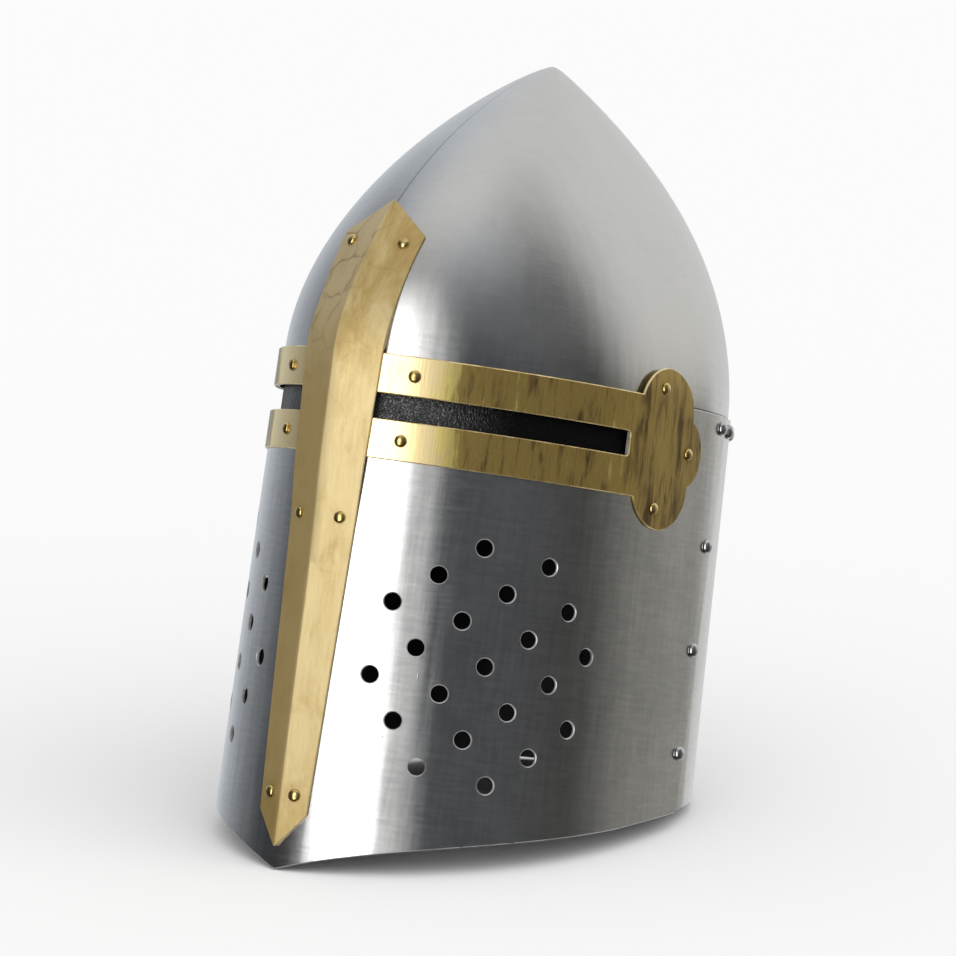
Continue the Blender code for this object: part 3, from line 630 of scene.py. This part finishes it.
def brass_finish():
    """Brass of the cross arms, rubbed pale at the strap, dull and smudged brown toward the trefoil."""
    finish = Finish(bpy.data.materials.new("worn_brass"))
    reach = finish.parts(finish.pattern())[0].size()
    cloud = finish.noise(finish.pattern((48.0, 30.0, 1.0)), 3.0, 0.6, 0.4)
    brush = finish.noise(finish.pattern((620.0, 40.0, 1.0)), 3.0, 0.62)
    smudge = finish.noise(finish.pattern((150.0, 24.0, 1.0), (4.0, 2.0, 0.0)), 4.0, 0.62, 0.5)
    smudge = smudge.between(0.42, 0.76)
    line = finish.noise(finish.pattern((420.0, 26.0, 1.0), (1.0, 6.0, 0.0)), 2.0, 0.6, 0.6).between(0.6, 0.7)
    old = reach.between(0.052, 0.076)
    age = 0.57 * old - 0.03 + reach.between(0.15, 0.19) * 0.12 + (cloud - 0.5) * (0.5 + 0.2 * old)
    age = age + (brush - 0.5) * (0.3 + 0.45 * old) + smudge * (0.1 + 0.42 * old)
    tone = finish.blend(age.between(0.0, 0.25), PALE_BRASS, BRIGHT_BRASS)
    tone = finish.blend(age.between(0.22, 0.5), tone, DULL_BRASS)
    tone = finish.blend(age.between(0.5, 1.15), tone, BROWN_BRASS)
    tone = finish.blend(line * old * 0.5, tone, BROWN_BRASS)
    rough = 0.17 + 0.16 * age.between(0.0, 1.0) + 0.06 * brush
    metal = 0.86 - 0.16 * age.between(0.1, 0.7)
    return finish.set(base_color=tone, roughness=rough, metallic=metal, normal=finish.bump(brush, 0.04 * MM))


def highlight_edge_finish(name, bright, dark, metal):
    """Paler, less mirror-like metal along the cut edges, a painted highlight that shows as bright lines."""
    finish = Finish(bpy.data.materials.new(name))
    grain = finish.noise(finish.upright((90.0, 90.0, 90.0)), 4.0, 0.7)
    tone = finish.blend(grain.between(0.35, 0.7), bright, dark)
    return finish.set(base_color=tone, roughness=0.26 + 0.1 * grain, metallic=metal)


def strap_finish():
    """Brass of the keel strap, dull and veined near its top and rubbed pale lower down; on the facet turned
    away, painted shade lower down and a painted grey reflection at the top.
    """
    finish = Finish(bpy.data.materials.new("strap_brass"))
    reach, height, _ = finish.parts(finish.pattern())
    cloud = finish.noise(finish.pattern((52.0, 30.0, 1.0), (1.0, 3.0, 0.0)), 6.0, 0.66, 0.7)
    brush = finish.noise(finish.pattern((520.0, 60.0, 1.0)), 3.0, 0.6)
    bend = finish.noise(finish.pattern((120.0, 120.0, 1.0)), 2.0, 0.5)
    wander = finish.noise(finish.pattern((60.0, 60.0, 1.0)), 1.0, 0.4).socket.node.outputs["Color"]
    spot = finish.node("ShaderNodeVectorMath", {"operation": "ADD"},
                       {0: finish.pattern((56.0, 46.0, 1.0)), 1: Wire(finish, wander)})
    border = finish.cells(spot, "DISTANCE_TO_EDGE")
    top = height.between(-0.03, 0.05)
    far = 1.0 - reach.between(-0.002, 0.002)
    tip = 1.0 - height.between(-0.235, -0.2)
    veins = (1.0 - border.between(0.0, 0.07)) * bend.between(0.34, 0.54) * top * (0.2 + 0.5 * far)
    fine = (1.0 - border.between(0.0, 0.02)) * 0.2
    age = (cloud - 0.5) * (1.0 + 0.6 * top) + (brush - 0.5) * 0.3 + 0.12
    age = age + 0.3 * top * (1.0 - far) + 0.22 * tip
    pale, olive = (0.62, 0.49, 0.245), (0.44, 0.31, 0.11)
    tone = finish.blend(age.between(0.0, 0.55), pale, olive)
    # Painted shade: the lower part of the facet turned away is darkened.
    tone = finish.blend(far * (1.0 - top) * 0.6, tone, (0.34, 0.22, 0.06))
    # Painted reflection: the top of that facet is paled toward grey tan.
    tone = finish.blend(far * top * 0.6, tone, (0.53, 0.42, 0.25))
    tone = finish.blend(age.between(0.45, 1.1) * 0.7, tone, (0.2, 0.125, 0.04))
    tone = finish.blend(veins + fine * cloud.between(0.5, 0.6), tone, (0.27, 0.18, 0.085))
    rough = 0.3 + 0.14 * age.between(0.0, 1.0) + 0.06 * brush
    normal = finish.bump(brush, 0.05 * MM)
    return finish.set(base_color=tone, roughness=rough, metallic=0.42 + 0.1 * cloud, normal=normal)


def rivet_finish(name, bright, dark):
    """Small domed heads, polished on top and darker in patches."""
    finish = Finish(bpy.data.materials.new(name))
    cloud = finish.noise(finish.upright((320.0, 320.0, 320.0)), 3.0, 0.6)
    grain = finish.noise(finish.upright((1600.0, 1600.0, 1600.0)), 2.0, 0.6)
    tone = finish.blend(cloud.between(0.42, 0.68), bright, dark)
    return finish.set(base_color=tone, roughness=0.14 + 0.14 * cloud, metallic=1.0,
                      normal=finish.bump(grain, 0.02 * MM, 0.6))


def leather_finish():
    """Black leather with a pebbled grain, glossy toward the keel and dull beyond: painted sheen near the
    keel and painted shade further back.
    """
    finish = Finish(bpy.data.materials.new("pebbled_leather"))
    pebble = finish.cells(finish.pattern((560.0, 560.0, 1.0)), "DISTANCE_TO_EDGE").between(0.0, 0.3)
    fold = finish.noise(finish.pattern((45.0, 60.0, 1.0)), 3.0, 0.5, 0.8)
    tone = finish.blend(pebble, (0.0008, 0.0008, 0.0009), (0.0025, 0.0025, 0.003))
    normal = finish.bump(pebble + fold * 2.5, 0.35 * MM, 0.7)
    # Painted sheen and shade: glossy within about 55 mm of the keel, dull beyond 100 mm.
    painted_sheen_share = 1.0 - finish.parts(finish.pattern())[0].size().between(0.055, 0.1)
    dull = finish.node("ShaderNodeBsdfPrincipled", {}, {"Base Color": tone, "Roughness": 0.7,
                                                        "Specular IOR Level": 0.12, "Normal": normal})
    finish.mix_with(dull, painted_sheen_share)
    return finish.set(base_color=tone, roughness=0.26 + 0.15 * fold, specular_ior_level=1.0, normal=normal)


steel = steel_finish()
near_black = near_black_finish()
brass = brass_finish()
strap_brass = strap_finish()
# Painted highlight: the eased edges of the sheets take these paler finishes, which light up as bright lines.
edge_brass_highlight = highlight_edge_finish("edge_brass_highlight", (0.98, 0.8, 0.42), (0.5, 0.35, 0.12), 0.75)
edge_steel_highlight = highlight_edge_finish("edge_steel_highlight", (0.62, 0.62, 0.62), (0.34, 0.34, 0.34), 0.6)
rivet_brass = rivet_finish("rivet_brass", (0.86, 0.66, 0.28), (0.5, 0.34, 0.11))
rivet_steel = rivet_finish("rivet_steel", (0.7, 0.7, 0.7), (0.45, 0.45, 0.46))
leather = leather_finish()


def hand_over(piece, slot, *nodes):
    """Set a piece on the one body, in place of the CAD's nodes."""
    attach(piece, "root")
    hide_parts(*nodes)


# Steel plates

def plate_lift(reach, height):
    """Inner face of the face plate, which steps out over the back plate near its rear edges."""
    flat = seam_edge(height) - SEAM_LAP - SEAM_EDGE / 2
    share = np.clip((np.abs(reach) - flat + SEAM_RAMP) / SEAM_RAMP, 0.0, 1.0)
    return GAP + (STEEL + GAP) * share * share * (3 - 2 * share)


def make_plates():
    holes = [sight_outline(side) for side in (1, -1)]
    for side in (1, -1):
        holes += [arc((side * reach, height), BREATH_DIAMETER / 2, 0, 2 * pi, HOLE_POINTS)
                  for reach, height in breath_centres()]
    outline = plate_outline(turn_at, seam_edge)
    metals = steel, edge_steel_highlight, near_black
    face = make_sheet("face_plate_sheet", [outline] + holes, turn_at, plate_lift, STEEL, STEEL_EDGE, metals)
    hand_over(face, "steel", "face_plate")
    limit = lambda height: half_round(height) - seam_edge(height) + SEAM_LAP
    outline = plate_outline(back_turn, limit)
    lift = lambda reach, height: np.full(np.shape(reach), GAP)
    back = make_sheet("back_plate_sheet", [outline], back_turn, lift, STEEL, STEEL_EDGE, metals)
    hand_over(back, "steel", "back_plate")


def make_skull():
    shares = 1 - (1 - np.linspace(0.0, LAST_SKULL_ROW, SKULL_ROWS)) ** ROW_GATHER
    outer = [-SKULL_MARGIN, -SKULL_MARGIN / 2] + (DOME_HEIGHT * shares).tolist()
    rows = outer + outer[::-1]
    lifts = [0.0] * len(outer) + [-STEEL] * len(outer)
    tips = (DOME_HEIGHT, DOME_HEIGHT - STEEL)
    skull = make_shell("skull_shell", rows, lifts, (steel, near_black), (len(outer) - 1, tips))
    hand_over(skull, "steel", "skull")


def make_liner():
    outer = np.linspace(-LINER_BOTTOM + LINER_EASE, LINER_TOP - LINER_EASE, LINER_ROWS).tolist()
    rows = outer + [LINER_TOP, LINER_TOP] + outer[::-1] + [-LINER_BOTTOM, -LINER_BOTTOM]
    face, back = -STEEL - LINER_GAP, -STEEL - LINER_GAP - LEATHER
    turned_in, turned_out = face - LINER_EASE, back + LINER_EASE
    lifts = [face] * LINER_ROWS + [turned_in, turned_out] + [back] * LINER_ROWS + [turned_out, turned_in]
    liner = make_shell("leather_band", rows, lifts, (leather,))
    hand_over(liner, "leather", "liner")


# Brass cross

def band_lift(reach=0.0, height=0.0):
    """Inner face of what lies on the face plate."""
    return plate_lift(reach, height) + STEEL + GAP


def make_bands():
    for word, side in (("left", 1), ("right", -1)):
        band = make_sheet(f"sight_cross_{word}", [band_outline(side)], turn_at, band_lift, BRASS, BRASS_EDGE,
                          (brass, edge_brass_highlight, edge_brass_highlight), BAND_PITCH)
        hand_over(band, "brass", f"sight_band_{word}")


def strap_low():
    """Heights of the strap's lower tip and of its shoulders."""
    tip = float(rim_height(0.0)) + STRAP_LOW_TIP
    return tip, tip + STRAP_LOW_SHOULDER - STRAP_LOW_TIP


def strap_half(height):
    low = strap_low()[1]
    return STRAP_LOW_HALF + (STRAP_TOP_HALF - STRAP_LOW_HALF) * (height - low) / (STRAP_TOP_SHOULDER - low)


def strap_lift(height):
    """Lift of the strap's inner face: over the arms, down to the plate, and to the skull at the top."""
    over_arm = band_lift() + BRASS + GAP
    above = np.clip((height - arm_top() - STRAP_CLEAR) / STRAP_SETTLE, 0.0, 1.0)
    below = np.clip((arm_bottom() - STRAP_CLEAR - height) / (STRAP_STEP - STRAP_CLEAR), 0.0, 1.0)
    above, below = above * above * (3 - 2 * above), below * below * (3 - 2 * below)
    return over_arm + (GAP - over_arm) * above + (band_lift() - over_arm) * below


def strap_turn(reach, height):
    """Angle at a length from the keel, drawn in with the dome's width above the seam."""
    width = level_sizes(np.asarray(height, float))[0]
    scaled = np.where(height > 0, reach * HALF_WIDTH / width, reach)
    return turn_at(scaled, np.minimum(height, 0.0))


def strap_point(share, edge, middle, thick):
    """Point of the strap at a share of its half width, on the cross section with the given heights."""
    level = edge + (middle - edge) * (1 - abs(share))
    inner_above_arm = thick == 0.0 and edge > arm_top() + STRAP_CLEAR
    lift = GAP if inner_above_arm else strap_lift(edge) + thick
    return place(strap_turn(share * strap_half(edge), level), level, lift)


def strap_rows():
    """Heights of the strap's cross sections at their edges and at the ridge."""
    tip, low = strap_low()
    high = arm_top() + STRAP_CLEAR
    edges = np.concatenate((np.linspace(low, high, STRAP_ROWS),
                            np.linspace(high, STRAP_TOP_SHOULDER, STRAP_TOP_ROWS)[1:]))
    middles = edges.copy()
    upper = edges > high
    middles[upper] += (STRAP_TOP - STRAP_TOP_SHOULDER) * (edges[upper] - high) / (STRAP_TOP_SHOULDER - high)
    near_tip = np.clip((low + STRAP_TIP_RUN - edges) / STRAP_TIP_RUN, 0.0, 1.0)
    middles -= (low - tip) * near_tip
    return edges, middles


def make_strap():
    """Brass bar of shallow V section, pointed at both ends, with flat facets and an eased ridge."""
    edges, middles = strap_rows()
    inner = np.linspace(-1.0, 1.0, STRAP_COLUMNS)
    rings, pattern = [], []
    for edge, middle in zip(edges, middles):
        half = float(strap_half(edge))
        rim = [strap_point(side, edge, middle, STRAP_EDGE) for side in (-1.0, 1.0)]
        ridge = strap_point(0.0, edge, middle, STRAP_RIDGE)
        ring = [strap_point(share, edge, middle, 0.0) for share in inner]
        ring.append(strap_point(1.0, edge, middle, STRAP_EDGE - STRAP_EASE))
        shares = [1 - STRAP_EASE / half] + FACET_SHARES
        ring += [ridge + (rim[1] - ridge) * share for share in shares]
        ring.append(ridge - outward(0.0, middle) * STRAP_RIDGE_EASE)
        ring += [ridge + (rim[0] - ridge) * share for share in reversed(shares)]
        ring.append(strap_point(-1.0, edge, middle, STRAP_EDGE - STRAP_EASE))
        rings.append(np.array(ring))
        spread = list(inner) + [1.0] + shares + [0.0] + [-share for share in reversed(shares)] + [-1.0]
        levels = [edge + (middle - edge) * (1 - abs(share)) for share in spread]
        pattern += [(share * half, level) for share, level in zip(spread, levels)]
    size = len(rings[0])
    faces = []
    for row in range(len(rings) - 1):
        for i in range(size):
            j = (i + 1) % size
            faces.append((row * size + i, (row + 1) * size + i, (row + 1) * size + j, row * size + j))
    last = (len(rings) - 1) * size
    half_inner, ridge_spot = len(inner) // 2, len(inner) + len(shares) + 1
    for start, turned in ((0, False), (last, True)):
        left = [start + i for i in range(half_inner, ridge_spot + 1)]
        right = [start + i for i in list(range(ridge_spot, size)) + list(range(half_inner + 1))]
        for cap in (left, right):
            faces.append(tuple(reversed(cap)) if turned else tuple(cap))
    strap = finish_mesh("keel_strap_bar", np.concatenate(rings), faces, (strap_brass,), pattern,
                        STRAP_CREASE)
    hand_over(strap, "brass", "keel_strap")


# Rivets

def rivet_tree():
    """Geometry nodes that set a domed head on every point of a mesh, along its facing."""
    tree = bpy.data.node_groups.new("rivet_row", "GeometryNodeTree")
    for name, kind in (("Geometry", "Geometry"), ("Head Width", "Float"), ("Head Rise", "Float"),
                       ("Finish", "Material"), ("Seed", "Int")):
        tree.interface.new_socket(name=name, in_out="INPUT", socket_type="NodeSocket" + kind)
    tree.interface.new_socket(name="Geometry", in_out="OUTPUT", socket_type="NodeSocketGeometry")
    nodes, links = tree.nodes, tree.links

    def add(kind, settings=None, **sockets):
        node = nodes.new(kind)
        for key, value in (settings or {}).items():
            setattr(node, key, value)
        for key, value in sockets.items():
            target = node.inputs[int(key[1:])] if key[1:].isdigit() else node.inputs[key.replace("_", " ")]
            if hasattr(value, "links"):
                links.new(value, target)
            else:
                target.default_value = value
        return node

    def maths(operation, first, second=0.0):
        return add("ShaderNodeMath", {"operation": operation}, i0=first, i1=second).outputs[0]

    entry, leave = nodes.new("NodeGroupInput"), nodes.new("NodeGroupOutput")
    cone = add("GeometryNodeMeshCone", None, Vertices=HEAD_SIDES, Side_Segments=HEAD_ROWS, Radius_Top=0.0,
               Radius_Bottom=1.0, Depth=1.0)
    spot = add("GeometryNodeInputPosition").outputs[0]
    axes = add("ShaderNodeSeparateXYZ", None, Vector=spot).outputs
    swing = maths("MULTIPLY", maths("SUBTRACT", 1.0, axes[2]), pi / 2)
    wide = maths("DIVIDE", maths("SINE", swing), maths("SUBTRACT", 1.0, axes[2]))
    reach = maths("MULTIPLY", wide, maths("MULTIPLY", entry.outputs["Head Width"], 0.5))
    rise = maths("MULTIPLY", maths("POWER", maths("COSINE", swing), 0.8), entry.outputs["Head Rise"])
    domed = add("ShaderNodeCombineXYZ", None, X=maths("MULTIPLY", axes[0], reach),
                Y=maths("MULTIPLY", axes[1], reach), Z=rise).outputs[0]
    head = add("GeometryNodeSetPosition", None, Geometry=cone.outputs["Mesh"], Position=domed).outputs[0]
    points = add("GeometryNodeMeshToPoints", None, Mesh=entry.outputs["Geometry"]).outputs[0]
    facing = add("GeometryNodeInputNamedAttribute", {"data_type": "FLOAT_VECTOR"}, Name="facing").outputs[0]
    aim = add("FunctionNodeAlignRotationToVector", {"axis": "Z"}, Vector=facing).outputs[0]
    size = add("FunctionNodeRandomValue", {"data_type": "FLOAT"}, i2=HEAD_SPREAD[0], i3=HEAD_SPREAD[1])
    links.new(entry.outputs["Seed"], size.inputs["Seed"])
    placed = add("GeometryNodeInstanceOnPoints", None, Points=points, Instance=head, Rotation=aim,
                 Scale=size.outputs[1]).outputs[0]
    real = add("GeometryNodeRealizeInstances", None, Geometry=placed).outputs[0]
    smooth = add("GeometryNodeSetShadeSmooth", None, Geometry=real).outputs[0]
    done = add("GeometryNodeSetMaterial", None, Geometry=smooth, Material=entry.outputs["Finish"])
    links.new(done.outputs[0], leave.inputs[0])
    return tree


def set_rivets(name, spots, width, rise, material, slot, nodes, tree, seed):
    """One piece of rivet heads, each given by its place and its facing on the upright helmet."""
    turn = STAND.to_3x3()
    carrier = bpy.data.meshes.new(name + "_spots")
    carrier.from_pydata([STAND @ Vector(spot) for spot, _ in spots], [], [])
    facing = carrier.attributes.new("facing", "FLOAT_VECTOR", "POINT")
    facing.data.foreach_set("vector", [value for _, way in spots for value in turn @ Vector(way)])
    holder = bpy.data.objects.new(name + "_spots", carrier)
    bpy.context.scene.collection.objects.link(holder)
    modifier = holder.modifiers.new("Rivets", "NODES")
    modifier.node_group = tree
    values = {"Head Width": width, "Head Rise": rise, "Finish": material, "Seed": seed}
    for item in tree.interface.items_tree:
        if item.in_out == "INPUT" and item.name in values:
            modifier[item.identifier] = values[item.name]
    bpy.context.view_layer.update()
    graph = bpy.context.evaluated_depsgraph_get()
    data = bpy.data.meshes.new_from_object(holder.evaluated_get(graph), depsgraph=graph)
    data.name = name
    bpy.data.objects.remove(holder, do_unlink=True)
    piece = bpy.data.objects.new(name, data)
    bpy.context.scene.collection.objects.link(piece)
    hand_over(piece, slot, *nodes)


def on_sheet(reach, height, lift):
    """Place and facing of a rivet on a sheet."""
    turn = turn_at(reach, height)
    normal = outward(turn, height)
    return section(turn, height) + normal * lift, normal


def on_strap(height, share, side):
    """Place and facing of a rivet on one facet of the strap."""
    ridge = strap_point(0.0, height, height, STRAP_RIDGE)
    rim = strap_point(float(side), height, height, STRAP_EDGE)
    above = strap_point(0.0, height + FACET_SPAN, height + FACET_SPAN, STRAP_RIDGE)
    normal = np.cross(rim - ridge, above - ridge) * side
    normal /= np.linalg.norm(normal)
    return ridge + (rim - ridge) * share + normal * STRAP_RIVET_LIFT, normal


def make_rivets():
    tree = rivet_tree()
    on_lap = 2 * (GAP + STEEL)
    arm_middle = (SIGHT_OPENING + ARM_WIDTH) / 2
    lobe_high = LOBE_SPREAD + LOBE_RADIUS - LOBE_RIVET_INSET
    rear_reach = REAR_LOBE_REACH + REAR_LOBE_RADIUS - LOBE_RIVET_INSET - BRASS_HEAD / 2
    bright, plain, bright_nodes, plain_nodes = [], [], [], []
    for word, side in (("left", 1), ("right", -1)):
        lobe_reach = LOBE_REACH - LOBE_RIVET_FORWARD
        flat = (("upper_arm", UPPER_ARM_RIVET_REACH, arm_middle),
                ("lower_arm", LOWER_ARM_RIVET_REACH, -arm_middle),
                ("upper_lobe", lobe_reach, lobe_high), ("lower_lobe", lobe_reach, -lobe_high),
                ("rear_lobe", rear_reach, 0.0))
        bright += [on_sheet(side * reach, rise - SIGHT_DROP, band_lift(reach, rise - SIGHT_DROP) + BRASS)
                   for _, reach, rise in flat]
        bright += [on_strap(height, share, side) for height, share in STRAP_RIVETS]
        names = [spot for spot, _, _ in flat] + ["top", "middle", "bottom"]
        bright_nodes += [f"brass_rivet_{spot}_{word}" for spot in names]
        for index, share in enumerate(SEAM_RIVET_SHARES):
            drop = SEAM_RIVET_DROP + (SEAM_RIVET_LAST_DROP - SEAM_RIVET_DROP) * share
            plain.append(on_sheet(side * (seam_edge(-drop) - SEAM_EDGE), -drop, on_lap))
            plain_nodes.append(f"steel_rivet_seam_{word}_{index + 1}")
    span = float(half_round(0.0)) - SEAM_REACH
    for index in range(NAPE_RIVETS):
        turn = back_turn(span * (2 * (index + 0.5) / NAPE_RIVETS - 1), -NAPE_RIVET_DROP)
        normal = outward(turn, -NAPE_RIVET_DROP)
        plain.append((section(turn, -NAPE_RIVET_DROP) + normal * (GAP + STEEL), normal))
        plain_nodes.append(f"steel_rivet_nape_{index + 1}")
    set_rivets("brass_rivets", bright, BRASS_HEAD, BRASS_HEAD_RISE, rivet_brass, "brass", bright_nodes,
               tree, 3)
    set_rivets("steel_rivets", plain, STEEL_HEAD, STEEL_HEAD_RISE, rivet_steel, "steel", plain_nodes,
               tree, 5)


# Studio

def make_floor():
    finish = Finish(bpy.data.materials.new("pale_floor"))
    material = finish.set(base_color=(0.965, 0.965, 0.965), roughness=0.8, specular_ior_level=0.0)
    data = bpy.data.meshes.new("floor")
    corners = [(across * FLOOR_REACH, ahead * FLOOR_REACH, 0.0)
               for across, ahead in ((-1, -1), (1, -1), (1, 1), (-1, 1))]
    data.from_pydata(corners, [], [(0, 1, 2, 3)])
    data.materials.append(material)
    floor = bpy.data.objects.new("floor", data)
    bpy.context.scene.collection.objects.link(floor)
    floor.visible_glossy = False


def make_camera():
    """Camera at the photograph's angle, a little above the helmet's middle."""
    shift = STAND_PLACE[1]
    spot = Vector((CAMERA_AWAY * sin(CAMERA_TURN), -CAMERA_AWAY * cos(CAMERA_TURN) + shift, CAMERA_HEIGHT))
    view = Vector((0.0, shift, AIM_HEIGHT)) - spot
    camera = bpy.data.objects.new("camera", bpy.data.cameras.new("camera"))
    camera.data.lens, camera.data.sensor_width = LENS, SENSOR
    camera.data.shift_x, camera.data.shift_y = LENS_SHIFT
    camera.data.clip_end = 200.0
    camera.location = spot
    camera.rotation_mode = "QUATERNION"
    roll = Matrix.Rotation(CAMERA_ROLL, 3, "Z").to_quaternion()
    camera.rotation_quaternion = view.to_track_quat("-Z", "Y") @ roll
    bpy.context.scene.collection.objects.link(camera)
    bpy.context.scene.camera = camera


def make_world():
    """Soft studio: a tall light at the front left, a bright ceiling and a white sweep behind.

    Mirrored rays see the lights, drawn by angle round and up. All others see a plain fill, and the
    camera sees white.
    """
    world = bpy.data.worlds.new("studio")
    studio = Finish(world, "Background")
    way = studio.node("ShaderNodeTexCoord").socket.node.outputs["Generated"]
    x, y, z = studio.parts(Wire(studio, way))
    round_way = x.maths("ARCTAN2", x, 0.0 - y) * (180 / pi)
    up_way = z.maths("ARCSINE", z) * (180 / pi)
    tall = up_way.within(-36.0, -24.0, 22.0, 56.0)
    key = tall * (round_way.within(-9.0, 4.0, 18.0, 28.0) * 2.4
                  + round_way.within(-11.0, 2.0, 35.5, 41.0) * 0.62)
    high = up_way.between(31.0, 84.0)
    left = 1.0 - round_way.between(-140.0, -62.0)
    behind = y.between(0.95, 1.0)
    bright = y.maths("MAXIMUM", up_way.between(-10.0, 10.0), behind)
    right = round_way.between(110.0, 156.0) * (0.4 + 0.6 * bright)
    glow = key + 0.7 * high + 0.72 * (left + right) * (1.0 - high) + 0.05
    front = (1.0 - high) * round_way.within(20.0, 50.0, 60.0, 120.0)
    side = (1.0 - up_way.between(58.0, 82.0)) * round_way.within(-170.0, -120.0, -40.0, -15.0)
    cool = (1.0 - key.between(0.0, 0.6)) * (front + 0.6 * side)
    fill = 0.68 + 1.5 * x.maths("MAXIMUM", 0.87 * x - 0.5 * y, 0.0)
    rays = studio.node("ShaderNodeLightPath").socket.node.outputs
    mirrored, seen = Wire(studio, rays["Is Glossy Ray"]), Wire(studio, rays["Is Camera Ray"])
    other = fill + (1.0 - fill) * seen
    studio.set(strength=other + (glow - other) * mirrored)
    low = round_way.between(65.0, 110.0) * (1.0 - up_way.between(0.0, 25.0)) * (1.0 - behind)
    tint = studio.blend(cool, studio.blend(low, (1.0, 0.992, 0.975), (1.0, 0.98, 0.89)), (0.85, 0.95, 1.07))
    studio.set(color=studio.blend(mirrored, (1.0, 1.0, 1.0), tint))
    bpy.context.scene.world = world
    bpy.context.scene.view_settings.view_transform = "Standard"


make_plates()
make_skull()
make_bands()
make_strap()
make_liner()
make_rivets()
make_floor()
make_world()
make_camera()
